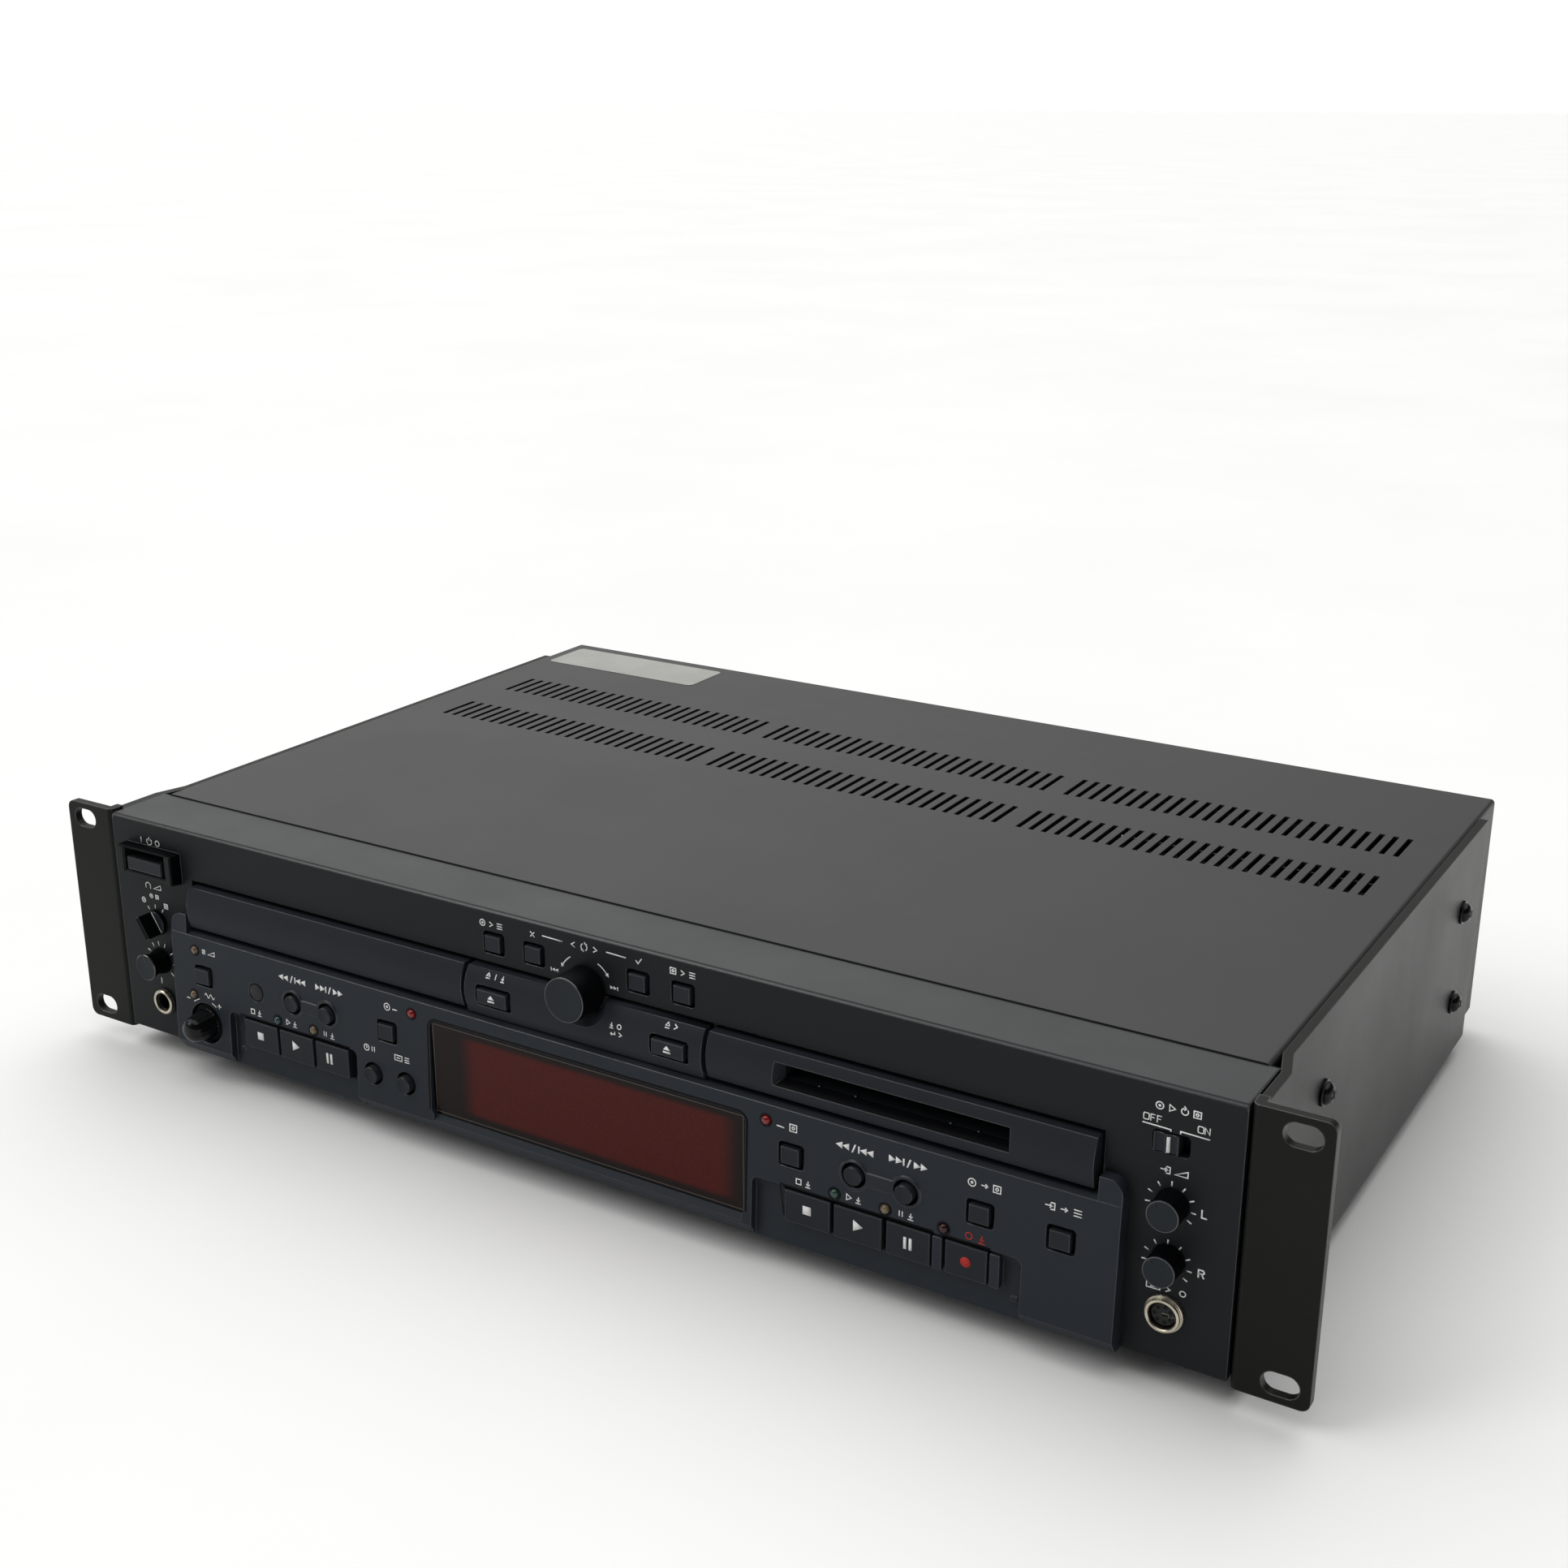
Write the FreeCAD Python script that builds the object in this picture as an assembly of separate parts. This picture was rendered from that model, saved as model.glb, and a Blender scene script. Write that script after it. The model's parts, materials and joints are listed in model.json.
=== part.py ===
"""Two-unit rack deck with a compact-disc tray and a minidisc slot, built piece by piece.

Working frame of the functions below: x runs to the right seen from the front, y runs
back from the face of the front panel, z runs up from the centre line of the rack ears.
export() moves every piece to the deck's own origin, the middle of its footprint.
"""
import math
import os

import FreeCAD
import Part
from FreeCAD import Vector

# overall sizes, in millimetres
overall_depth = 309.0         # knob tips to the rear sockets
knob_reach = 15.8             # how far the longest knob stands out of the panel face
rear_reach = overall_depth - knob_reach
foot_height = 8.6
centre_height = 51.0          # rack centre line above the desk

# front panel moulding
panel_half_width = 217.6
panel_top = 43.1
panel_bottom = foot_height - centre_height
panel_skin = 3.0
panel_return = 25.3           # depth of the strip that meets the top cover
band_half_width = 178.4       # opening for tray, centre block and minidisc block
band_top = 24.4
band_floor = 5.6

# sheet-metal case
sheet = 1.0
floor_sheet = 1.2
cover_half_width = 214.9
cover_top = 43.6
cover_rear = 282.7
chassis_front = 14.0

# slots in the top cover
vent_pitch = 5.0
vent_count = 26
vent_width = 2.0
vent_length = 20.0
vent_group_step = 135.0
vent_centre_x = 2.0
vent_rows = (161.0, 203.0)

# rack ears
ear_sheet = 3.0
ear_half_span = 241.3
ear_half_height = 44.05
ear_inner = 218.3
ear_plate_rear = 260.0
ear_plate_top = 43.0
slot_spacing_x = 465.1
slot_spacing_z = 76.2
slot_length = 11.0
slot_width = 7.2
joggle_start = 24.0
joggle_end = 36.0

# console and the blocks in the band
console_half_width = 186.0
console_top_y = -5.0
console_low_y = -6.8
ridge_z = 5.0
console_wall = 2.2
horn_top = 12.3
horn_inner = 178.6
horn_corner = 4.5
block_top = 22.9
block_low = 7.6
block_half_width = 46.9
block_front = -5.2            # foremost line of the crowned centre block
block_rear = 2.5
block_lip = ridge_z + 0.75    # lower edge of the centre block, just clear of the console
tab_width = 6.0
block_slices = (-block_half_width, -6.0, -3.0, 3.0, 6.0, block_half_width)
side_block_inner = 48.6
side_block_outer = 177.0
scoop_floor_y = -3.2          # recess round the long keys, at its shoulder
scoop_shoulder_z = -25.0
scoop_top = -20.4
scoop_corner = 2.5
cd_scoop = (-158.5, -96.6)
md_scoop = (65.9, 157.2)
tub_wall = 1.3

# window
window_half_width = 63.3
window_top = -0.4
window_low = -35.6
window_corner = 3.0
window_face_y = -4.7
pane_thickness = 1.9

# wells and caps
well_gap = 1.25               # between a cap and the edge of its well
cap_proud = 1.0
small_well = (9.0, 8.2)
menu_well = (8.8, 8.0)
wide_well = (14.6, 7.5)
round_well_r = 4.2
round_cap_r = 3.05
well_corner = 0.8
pad_r = 5.0                   # raised plate round a pair of skip buttons
pad_rise = 0.35
pad_waist = 2.3
key_top = -21.4
key_low = -32.3
key_margin = (0.4, 0.9)       # clearance in the console under and over a key
flange_front = 0.4            # front of the flanges behind the console
flange_thickness = 1.0
plunger_length = 1.7

# dial and knobs
dial_z = 25.0
dial_r = 7.65
dial_front_y = -12.3
dial_rear_y = -1.0
dial_shaft_r = 3.0
dial_bore_r = 8.4             # opening in the centre block behind the dial
knob_front_y = -8.0
knob_rear_y = -0.4
knob_shaft_r = 3.0
knob_hole_r = 3.6
input_knob_turn = -40.0
left_column_x = -198.7
right_column_x = 198.6
selector_step = 32.0          # turn between the selector places
selector_z = 3.4
level_z = -12.0
jack_z = -28.5
pitch_place = (-170.6, -28.3)
pitch_skirt_r = 7.4
flute_count = 12
flute_waist = 0.87            # radius in a groove over the radius on a ridge
input_places = (7.7, -9.7)
din_z = -26.6
slider_place = (197.0, 25.8)
slider_well = (11.0, 6.6)

# mains key and its raised frame: x0, x1, z0, z1
power_frame = (-210.5, -183.3, 22.5, 33.6)
power_opening = (-208.4, -187.2, 23.9, 33.0)
power_cap = (-206.4, -189.0, 24.6, 29.6)
power_frame_y = -4.0

# minidisc slot, its flap and the holder behind
slot_x = (75.2, 149.8)
slot_z = (13.6, 19.2)
shutter_y = 6.6
flap_pin_r = 0.7
hinge_z = slot_z[1] + 2.2
holder_y = (16.0, 92.0)

# circuit boards
board_sheet = 1.6
board_front_y = 5.2           # front of the board behind the keys

# disc loader
disc_centre = (-112.8, 82.0)
tray_front_rear = 2.2
tray_front_wall = 2.2
tray_half_width = 62.5
tray_rear = 150.0
tray_top = 20.8
tray_thickness = 6.4
spindle_r = 1.2

remote_place = (-144.2, -9.9)
remote_r = 3.5
lamp_r = 1.5
lamp_places = {
    "key": (-174.4, -0.3), "pitch": (-176.3, -18.1), "cd": (-71.0, -0.1), "md": (70.6, -0.3),
    "cd_play": (-134.2, -18.1), "cd_ready": (-116.9, -17.6),
    "md_play": (95.3, -17.8), "md_ready": (112.6, -17.8), "record": (132.1, -18.0),
}
small_buttons = {
    "key_button": (-170.6, -9.8), "cd_select_button": (-82.3, -9.6),
    "md_select_button": (79.8, -9.7), "dubbing_button": (143.4, -9.9),
    "input_select_button": (168.7, -10.3),
}
menu_buttons = {"cd_menu_button": -37.6, "no_button": -21.0, "yes_button": 20.2, "md_menu_button": 37.2}
menu_z = 31.4
wide_buttons = {"open_close_button": -34.9, "eject_button": 34.9}
wide_z = 14.2
# x and z of the centre, and how far the cap stands out of the face
round_buttons = {
    "cd_previous_button": (-126.4, -9.7, 1.2), "cd_next_button": (-110.0, -9.9, 2.0),
    "time_button": (-89.3, -27.0, 1.9), "display_button": (-74.4, -26.9, 1.9),
    "md_previous_button": (101.7, -9.8, 1.2), "md_next_button": (119.3, -10.2, 2.0),
}
skip_pairs = (("cd_previous_button", "cd_next_button"), ("md_previous_button", "md_next_button"))
keys = {
    "cd_stop_key": (-151.1, -134.8), "cd_play_key": (-133.6, -117.7), "cd_pause_key": (-116.3, -100.8),
    "md_stop_key": (77.8, 93.9), "md_play_key": (95.2, 111.7), "md_pause_key": (113.2, 127.9),
    "record_key": (132.8, 146.5),
}
key_banks = ((-152.3, -100.0), (76.6, 128.7), (131.7, 147.3))
key_ribs = ((128.7, 131.7), (147.3, 150.4))
board_posts = ((-155.0, -35.4), (154.5, -35.4), (-98.0, 0.4), (-162.0, 0.4), (142.0, 0.4), (170.0, 0.4))


# shape helpers

def box(x0, x1, y0, y1, z0, z1):
    return Part.makeBox(x1 - x0, y1 - y0, z1 - z0, Vector(x0, y0, z0))


def rod_x(y, z, r, x0, x1):
    return Part.makeCylinder(r, x1 - x0, Vector(x0, y, z), Vector(1, 0, 0))


def rod_y(x, z, r, y0, y1):
    return Part.makeCylinder(r, y1 - y0, Vector(x, y0, z), Vector(0, 1, 0))


def rod_z(x, y, r, z0, z1):
    return Part.makeCylinder(r, z1 - z0, Vector(x, y, z0), Vector(0, 0, 1))


def ring_y(x, z, radii, y):
    """Corners round a line along y, at the given radii in turn."""
    turn = 2 * math.pi / len(radii)
    return [(x + r * math.sin(turn * i), y, z + r * math.cos(turn * i)) for i, r in enumerate(radii)]


def faceted_y(rings):
    """Flat-sided solid along y through rings of corners, front to back."""
    faces = [outline(rings[0]), outline(rings[-1])]
    for near, far in zip(rings, rings[1:]):
        count = len(near)
        for i in range(count):
            j = (i + 1) % count
            faces.append(outline([near[i], near[j], far[j], far[i]]))
    return Part.Solid(Part.Shell(faces))


def facet_rod_y(x, z, r, y0, y1):
    """Small twelve-sided rod along y."""
    return faceted_y([ring_y(x, z, [r] * 12, y0), ring_y(x, z, [r] * 12, y1)])


def closed_face(edges):
    return Part.Face(Part.Wire(edges))


def line(a, b):
    return Part.LineSegment(Vector(*a), Vector(*b)).toShape()


def arc(a, mid, b):
    return Part.Arc(Vector(*a), Vector(*mid), Vector(*b)).toShape()


def outline(points):
    """Closed polygon face through the given corners."""
    corners = [Vector(*p) for p in points]
    return Part.Face(Part.makePolygon(corners + corners[:1]))


def along_x(yz_points, x0, x1):
    return outline([(x0, y, z) for y, z in yz_points]).extrude(Vector(x1 - x0, 0, 0))


def along_y(xz_points, y0, y1):
    return outline([(x, y0, z) for x, z in xz_points]).extrude(Vector(0, y1 - y0, 0))


def soft_box_y(x, z, width, height, corner, y0, y1):
    """Block along y whose front outline has rounded corners."""
    block = box(x - width / 2, x + width / 2, y0, y1, z - height / 2, z + height / 2)
    uprights = [e for e in block.Edges if abs(e.tangentAt(e.FirstParameter).y) > 0.99]
    return block.makeFillet(corner, uprights)


def well_y(x, z, size, y0, y1):
    """Button opening along y, its corners cut off at 45 degrees."""
    width, height = size
    hole = box(x - width / 2, x + width / 2, y0, y1, z - height / 2, z + height / 2)
    uprights = [e for e in hole.Edges if abs(e.tangentAt(e.FirstParameter).y) > 0.99]
    return hole.makeChamfer(well_corner, uprights)


def slot_y(x, z, length, width, y0, y1):
    """Oblong with round ends lying along x, cut through along y."""
    half = (length - width) / 2
    middle = box(x - half, x + half, y0, y1, z - width / 2, z + width / 2)
    return middle.fuse([rod_y(x - half, z, width / 2, y0, y1), rod_y(x + half, z, width / 2, y0, y1)])


def turned_y(profile, x, z):
    """Solid of revolution about a line along y; profile holds (radius, y) corners."""
    face = outline([(x + r, y, z) for r, y in profile])
    return face.revolve(Vector(x, 0, z), Vector(0, 1, 0), 360)


def joined(solids):
    body = solids[0].fuse(solids[1:]) if len(solids) > 1 else solids[0]
    return body.removeSplitter()


def export(name, shape):
    placed = shape.copy()
    placed.translate(Vector(0, knob_reach - overall_depth / 2, centre_height))
    placed.exportStep("parts/" + name + ".step")
    print(name, len(placed.Solids), round(placed.Volume / 1000, 2), placed.isValid())


def console_y(z):
    """Depth of the console's sloping face at a height."""
    run = (ridge_z - z) / (ridge_z - panel_bottom)
    return console_top_y + (console_low_y - console_top_y) * run


# sheet-metal case

def bottom_chassis():
    half = cover_half_width - sheet
    rear = cover_rear - 0.5
    floor_top = panel_bottom + floor_sheet
    pan = [
        box(-half, half, chassis_front, rear, panel_bottom, floor_top),
        box(-half, half, chassis_front, chassis_front + floor_sheet, panel_bottom, panel_bottom + 5),
    ]
    for side in (-1, 1):
        x0, x1 = sorted((side * half, side * (half - floor_sheet)))
        pan.append(box(x0, x1, chassis_front, rear - 12, panel_bottom, panel_bottom + 16))
    # pressed stiffening ribs standing on the floor
    for y in (120.0, 250.0):
        rib = [(y - 5, floor_top), (y - 2.5, floor_top + 2), (y + 2.5, floor_top + 2), (y + 5, floor_top)]
        pan.append(along_x(rib, -170, 60))
    # stand-offs for the main board and the power supply
    for x, y in main_board_corners() + supply_corners():
        pan.append(box(x - 3, x + 3, y - 3, y + 3, floor_top, board_z()))
    body = joined(pan)
    slots = [box(x, x + 2.2, 205, 235, panel_bottom - 1, floor_top + 1) for x in range(-40, 60, 10)]
    return body.cut(slots)


def board_z():
    return panel_bottom + floor_sheet + 8.0


def main_board_corners():
    return [(x, y) for x in (-72.0, 196.0) for y in (152.0, 262.0)]


def supply_corners():
    return [(x, y) for x in (-200.0, -92.0) for y in (182.0, 262.0)]


def vent_slots():
    cuts = []
    for group in (-1, 0, 1):
        first = vent_centre_x + group * vent_group_step - vent_pitch * (vent_count - 1) / 2
        for i in range(vent_count):
            x = first + i * vent_pitch
            for y in vent_rows:
                cuts.append(box(x - vent_width / 2, x + vent_width / 2, y, y + vent_length,
                                cover_top - 2 * sheet, cover_top + 1))
    return cuts


def top_cover():
    outer = box(-cover_half_width, cover_half_width, panel_return, cover_rear, panel_bottom, cover_top)
    folds = [e for e in outer.Edges
             if abs(e.tangentAt(e.FirstParameter).y) > 0.99 and e.CenterOfMass.z > 0]
    outer = outer.makeFillet(1.6, folds)
    inner = box(-cover_half_width + sheet, cover_half_width - sheet, panel_return - 1, cover_rear + 1,
                panel_bottom - 1, cover_top - sheet)
    shell = outer.cut([inner] + vent_slots())
    # rear lip that hangs over the rear panel
    lip = box(-cover_half_width + sheet, cover_half_width - sheet, cover_rear - sheet, cover_rear,
              cover_top - 7, cover_top - sheet)
    return joined([shell, lip])


def rear_panel():
    half = cover_half_width - sheet
    y1 = cover_rear - sheet
    plate = box(-half, half, y1 - sheet, y1, panel_bottom + floor_sheet, cover_top - sheet)
    cuts = [box(x0, x1, y1 - 3, y1 + 1, z0, z1) for x0, x1, z0, z1 in rear_windows()]
    cuts += [box(x, x + 2, y1 - 3, y1 + 1, -2, 24) for x in range(-60, 40, 6)]
    return plate.cut(cuts)


def rear_windows():
    """Cut-outs for the inlet, the phono sockets and the optical ports, as x0, x1, z0, z1."""
    inlet = [(-197.0, -167.0, -22.0, 2.0)]
    phono = [(x - 12.5, x + 12.5, -31.5, 1.5) for x in phono_x]
    optical = [(x - 7.0, x + 7.0, 8.0, 20.0) for x in optical_x]
    return inlet + phono + optical


phono_x = (80.0, 110.0, 140.0, 170.0)
optical_x = (80.0, 110.0, 140.0)


def feet():
    group = []
    for x in (-178.0, 178.0):
        for y in (46.0, 246.0):
            group.append(rod_z(x, y, 11.0, -centre_height, panel_bottom))
    return Part.Compound(group)


# rack ears

def rack_ear(side):
    """L bracket: front ear with two oblong slots, plate stepped inward along the cover's side."""
    wide = ear_inner + ear_sheet
    near = cover_half_width
    plan = [
        (ear_half_span, 0.0), (ear_half_span, ear_sheet), (wide, ear_sheet), (wide, joggle_start),
        (near + ear_sheet, joggle_end), (near + ear_sheet, ear_plate_rear), (near, ear_plate_rear),
        (near, joggle_end - 0.8), (ear_inner, joggle_start - 0.8), (ear_inner, 0.0),
    ]
    face = outline([(side * x, y, -ear_half_height) for x, y in plan])
    bracket = face.extrude(Vector(0, 0, 2 * ear_half_height))
    tip = [e for e in bracket.Edges
           if abs(e.tangentAt(e.FirstParameter).y) > 0.99 and abs(e.CenterOfMass.x) > ear_half_span - 0.1]
    bracket = bracket.makeFillet(3.0, tip)
    bend = [e for e in bracket.Edges if abs(e.tangentAt(e.FirstParameter).z) > 0.99
            and abs(abs(e.CenterOfMass.x) - ear_inner) < 0.1 and abs(e.CenterOfMass.y) < 0.1]
    bracket = bracket.makeFillet(2.0, bend)
    cuts = [slot_y(side * slot_spacing_x / 2, z, slot_length, slot_width, -1, ear_sheet + 1)
            for z in (-slot_spacing_z / 2, slot_spacing_z / 2)]
    # the side plate stops just under the cover's top
    x0, x1 = sorted((side * (near - 1), side * (wide + 1)))
    cuts.append(box(x0, x1, ear_sheet + 3, ear_plate_rear + 1, ear_plate_top, ear_half_height + 1))
    return bracket.cut(cuts)


# front moulding

def front_panel():
    outer = box(-panel_half_width, panel_half_width, 0, panel_return, panel_bottom, panel_top)
    edges = [e for e in outer.Edges if abs(e.CenterOfMass.y) < 0.01 and e.CenterOfMass.z > panel_top - 0.1]
    outer = outer.makeChamfer(0.8, edges)
    inner = box(-panel_half_width + 2.5, panel_half_width - 2.5, panel_skin, panel_return + 1,
                panel_bottom + 2.4, panel_top - 2.4)
    low_return = box(-panel_half_width - 1, panel_half_width + 1, chassis_front, panel_return + 1,
                     panel_bottom - 1, panel_bottom + 14.5)
    body = outer.cut([inner, low_return])
    x0, x1, z0, z1 = power_frame
    frame = along_x([(power_frame_y, z0), (0, z0 - 0.9), (0, z1), (power_frame_y, z1)], x0, x1)
    body = joined([body, frame])
    cuts = [
        box(-band_half_width, band_half_width, -1, panel_skin + 1, band_floor, band_top),
        box(-182, 182, -1, panel_skin + 1, panel_bottom + 5, band_floor - 2.6),
        box(power_opening[0], power_opening[1], -6, panel_skin + 1, power_opening[2], power_opening[3]),
        rod_y(left_column_x, selector_z, knob_hole_r, -1, panel_skin + 1),
        rod_y(left_column_x, level_z, knob_hole_r, -1, panel_skin + 1),
        rod_y(left_column_x, jack_z, 4.4, -1, panel_skin + 1),
        rod_y(right_column_x, din_z, 4.9, -1, panel_skin + 1),
        rod_y(0, dial_z, dial_shaft_r + 1.0, -1, panel_skin + 1),
        well_y(slider_place[0], slider_place[1], slider_well, -1, panel_skin + 1),
    ]
    cuts += [rod_y(right_column_x, z, knob_hole_r, -1, panel_skin + 1) for z in input_places]
    cuts += [well_y(x, menu_z, menu_well, -1, panel_skin + 1) for x in menu_buttons.values()]
    return body.cut(cuts)


def block_profile(front, y_rear):
    """Side view of a band block: crowned face between a top and a bottom edge."""
    low, top = block_low, block_top
    mid_z = (low + top) / 2
    return [
        line((0, y_rear, top), (0, front + 2.4, top)),
        arc((0, front + 2.4, top), (0, front, mid_z), (0, front + 1.6, low)),
        line((0, front + 1.6, low), (0, y_rear, low)),
        line((0, y_rear, low), (0, y_rear, top)),
    ]


def crowned_block(x0, x1, front, y_rear):
    face = closed_face(block_profile(front, y_rear))
    face.translate(Vector(x0, 0, 0))
    return face.extrude(Vector(x1 - x0, 0, 0))


def control_console():
    """One moulding: sloping lower face with end horns and two recessed rows of long keys."""
    face = [(0, ridge_z + 0.7), (-2.8, ridge_z + 0.7), (console_top_y, ridge_z),
            (console_y(-38.0), -38.0), (-3.6, panel_bottom), (0, panel_bottom)]
    body = along_x(face, -console_half_width, console_half_width)
    horns = []
    for side in (-1, 1):
        x0, x1 = sorted((side * horn_inner, side * console_half_width))
        upright = [(0, horn_top), (-4.3, horn_top), (console_top_y, ridge_z - 1), (0, ridge_z - 1)]
        horn = along_x(upright, x0, x1)
        corner = [e for e in horn.Edges if abs(e.tangentAt(e.FirstParameter).y) > 0.9
                  and e.CenterOfMass.z > horn_top - 0.1 and abs(e.CenterOfMass.x) > horn_inner + 2]
        horns.append(horn.makeFillet(horn_corner, corner))
    body = joined([body] + horns).cut(console_hollow())
    pads = [button_pad(round_buttons[left], round_buttons[right]) for left, right in skip_pairs]
    body = joined([body, scoop_tub(*cd_scoop), scoop_tub(*md_scoop)] + pads)
    body = body.cut([key_scoop(*cd_scoop), key_scoop(*md_scoop)])
    ribs = [box(x0, x1, key_face_y(), scoop_floor_y + 0.5, key_low, key_top) for x0, x1 in key_ribs]
    body = joined([body] + ribs)
    below, above = key_margin
    cuts = [box(x0, x1, -9, 1, key_low - below, key_top + above) for x0, x1 in key_banks]
    cuts.append(window_cut())
    cuts += [well_y(x, z, small_well, -9, 1) for x, z in small_buttons.values()]
    cuts += [rod_y(x, z, round_well_r, -9, 1) for x, z, proud in round_buttons.values()]
    cuts += [facet_rod_y(x, z, lamp_r + 0.25, -9, 1) for x, z in lamp_places.values()]
    cuts += [rod_y(*remote_place, remote_r + 0.1, -9, 1), rod_y(*pitch_place, pitch_skirt_r + 0.5, -9, 1)]
    posts = [box(x - 1.1, x + 1.1, -4.0, board_front_y, z - 0.9, z + 0.9) for x, z in board_posts]
    return joined([body.cut(cuts)] + posts)


def console_hollow():
    """Space behind the sloping face."""
    deep = console_wall
    return along_x([(console_top_y + deep, ridge_z - deep), (console_y(-38.0) + deep, -38.0),
                    (-2.0, panel_bottom + deep), (1, panel_bottom + deep), (1, ridge_z - deep)],
                   -console_half_width + deep, console_half_width - deep)


def key_face_y():
    """Faces of the long keys, level with the console's own face at their middle."""
    return console_y((key_top + key_low) / 2)


def button_pad(left, right):
    """Low raised plate, waisted like a peanut, round a pair of skip buttons."""
    z = (left[1] + right[1]) / 2
    front, rear = console_y(z) - pad_rise, console_y(z) + 1.0
    ends = [rod_y(x, z, pad_r, front, rear) for x in (left[0], right[0])]
    return joined(ends + [box(left[0], right[0], front, rear, z - pad_waist, z + pad_waist)])


def scoop_tub(x0, x1):
    """Wall that closes the recess of a key row behind the face."""
    front = console_y(scoop_top) + 1.0
    return box(x0 - 1.6, x1 + 1.6, front, scoop_floor_y + tub_wall, panel_bottom + 1, scoop_top + 1.6)


def key_scoop(x0, x1):
    """Recess round a row of keys: a curved upper shoulder, then a floor parallel to the face."""
    low = panel_bottom - 1
    floor_low_y = scoop_floor_y + console_y(low) - console_y(scoop_shoulder_z)
    shoulder = arc((x0, console_y(scoop_top), scoop_top), (x0, scoop_floor_y - 0.74, scoop_top - 1.92),
                   (x0, scoop_floor_y, scoop_shoulder_z))
    side = closed_face([
        line((x0, -12, scoop_top), (x0, console_y(scoop_top), scoop_top)), shoulder,
        line((x0, scoop_floor_y, scoop_shoulder_z), (x0, floor_low_y, low)),
        line((x0, floor_low_y, low), (x0, -12, low)), line((x0, -12, low), (x0, -12, scoop_top)),
    ])
    plain = box(x0, x1, -12, 1, low, scoop_top)
    corners = [e for e in plain.Edges if abs(e.tangentAt(e.FirstParameter).y) > 0.99
               and e.CenterOfMass.z > scoop_top - 0.1]
    return side.extrude(Vector(x1 - x0, 0, 0)).common(plain.makeFillet(scoop_corner, corners))


def centre_block():
    """Crowned block with the two wide keys, scooped out under the dial. It is one moulding, held
    here as five solids that touch, so that no part of it spans the hollow the dial turns in."""
    half, front = block_half_width, block_front
    mid_z = (block_low + block_top) / 2
    side = closed_face([
        line((-half, block_rear, block_top), (-half, front + 3.0, block_top)),
        arc((-half, front + 3.0, block_top), (-half, front, mid_z), (-half, front + 1.2, block_low + 1.0)),
        arc((-half, front + 1.2, block_low + 1.0), (-half, front + 2.0, 6.3), (-half, -2.4, block_lip)),
        line((-half, -2.4, block_lip), (-half, block_rear, block_lip)),
        line((-half, block_rear, block_lip), (-half, block_rear, block_top)),
    ])
    block = side.extrude(Vector(2 * half, 0, 0))
    # finger scoop round the dial, then the bore it stands in
    flare = [(0, -8), (13.6, -8), (11.6, -5.0), (9.2, -2.2), (dial_bore_r, -0.9), (0, -0.9)]
    cuts = [turned_y(flare, 0, dial_z), rod_y(0, dial_z, dial_bore_r, -9, block_rear + 1)]
    cuts += [well_y(x, wide_z, wide_well, -9, block_rear + 1) for x in wide_buttons.values()]
    cuts += [box(x - 10.0, x + 10.0, front + 3.0, block_rear + 1, wide_z - 5.4, wide_z + 5.4)
             for x in wide_buttons.values()]
    block = joined([block.cut(cuts)] + block_tabs(-half + 4, half - 4))
    slabs = [box(x0, x1, -9, 9, 0, panel_top) for x0, x1 in zip(block_slices, block_slices[1:])]
    return Part.Compound([block.common(slab) for slab in slabs])


def block_tabs(x0, x1):
    """Two snap tabs behind a block's upper edge, set in from its ends."""
    return [box(x, x + tab_width, block_rear, block_rear + 5.0, block_top - 3.5, block_top - 1.5)
            for x in (x0, x1 - tab_width)]


def window_cut():
    mid_z = (window_top + window_low) / 2
    height = window_top - window_low
    opening = soft_box_y(0, mid_z, 2 * window_half_width, height, window_corner, -9, 1)
    sill = [(-9, window_low - 3.9), (window_face_y, window_low), (0, window_low + 1), (-9, window_low + 1)]
    bevel = along_x(sill, -window_half_width + 1.0, window_half_width - 1.0)
    return opening.fuse(bevel)


def slot_middle():
    return (slot_x[0] + slot_x[1]) / 2, (slot_z[0] + slot_z[1]) / 2


def md_slot_bezel():
    """Crowned block with a funnel-edged letterbox slot and a throat behind it."""
    x0, x1 = side_block_inner, side_block_outer
    body = crowned_block(x0, x1, -5.0, block_rear)
    cx, cz = slot_middle()
    wide, tall = slot_x[1] - slot_x[0], slot_z[1] - slot_z[0]
    throat = box(slot_x[0] - 1.4, slot_x[1] + 1.4, 2.0, 6.0, slot_z[0] - 1.4, slot_z[1] + 1.4)
    funnel = Part.makeLoft([
        flat_frame(cx - 0.6, cz - 1.0, wide + 5.4, tall + 2.9, -6.0),
        flat_frame(cx, cz, wide, tall, -1.2)], True)
    mouth = box(slot_x[0], slot_x[1], -2.0, 7.0, slot_z[0], slot_z[1])
    return joined([body, throat] + block_tabs(x0 + 6, x1 - 6)).cut([funnel, mouth])


def flat_frame(cx, cz, width, height, y):
    a, b = width / 2, height / 2
    corners = [(cx - a, y, cz - b), (cx + a, y, cz - b), (cx + a, y, cz + b), (cx - a, y, cz + b)]
    points = [Vector(*c) for c in corners]
    return Part.makePolygon(points + points[:1])


def md_shutter():
    """Flap behind the throat, hung from a pin along its upper edge."""
    x0, x1 = slot_x[0] + 0.6, slot_x[1] - 0.6
    flap = box(x0, x1, shutter_y, shutter_y + 1.0, slot_z[0] - 0.6, hinge_z)
    pin = rod_x(shutter_y + 0.5, hinge_z, flap_pin_r, x0 - 4.0, x1 + 4.0)
    return joined([flap, pin])


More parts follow.
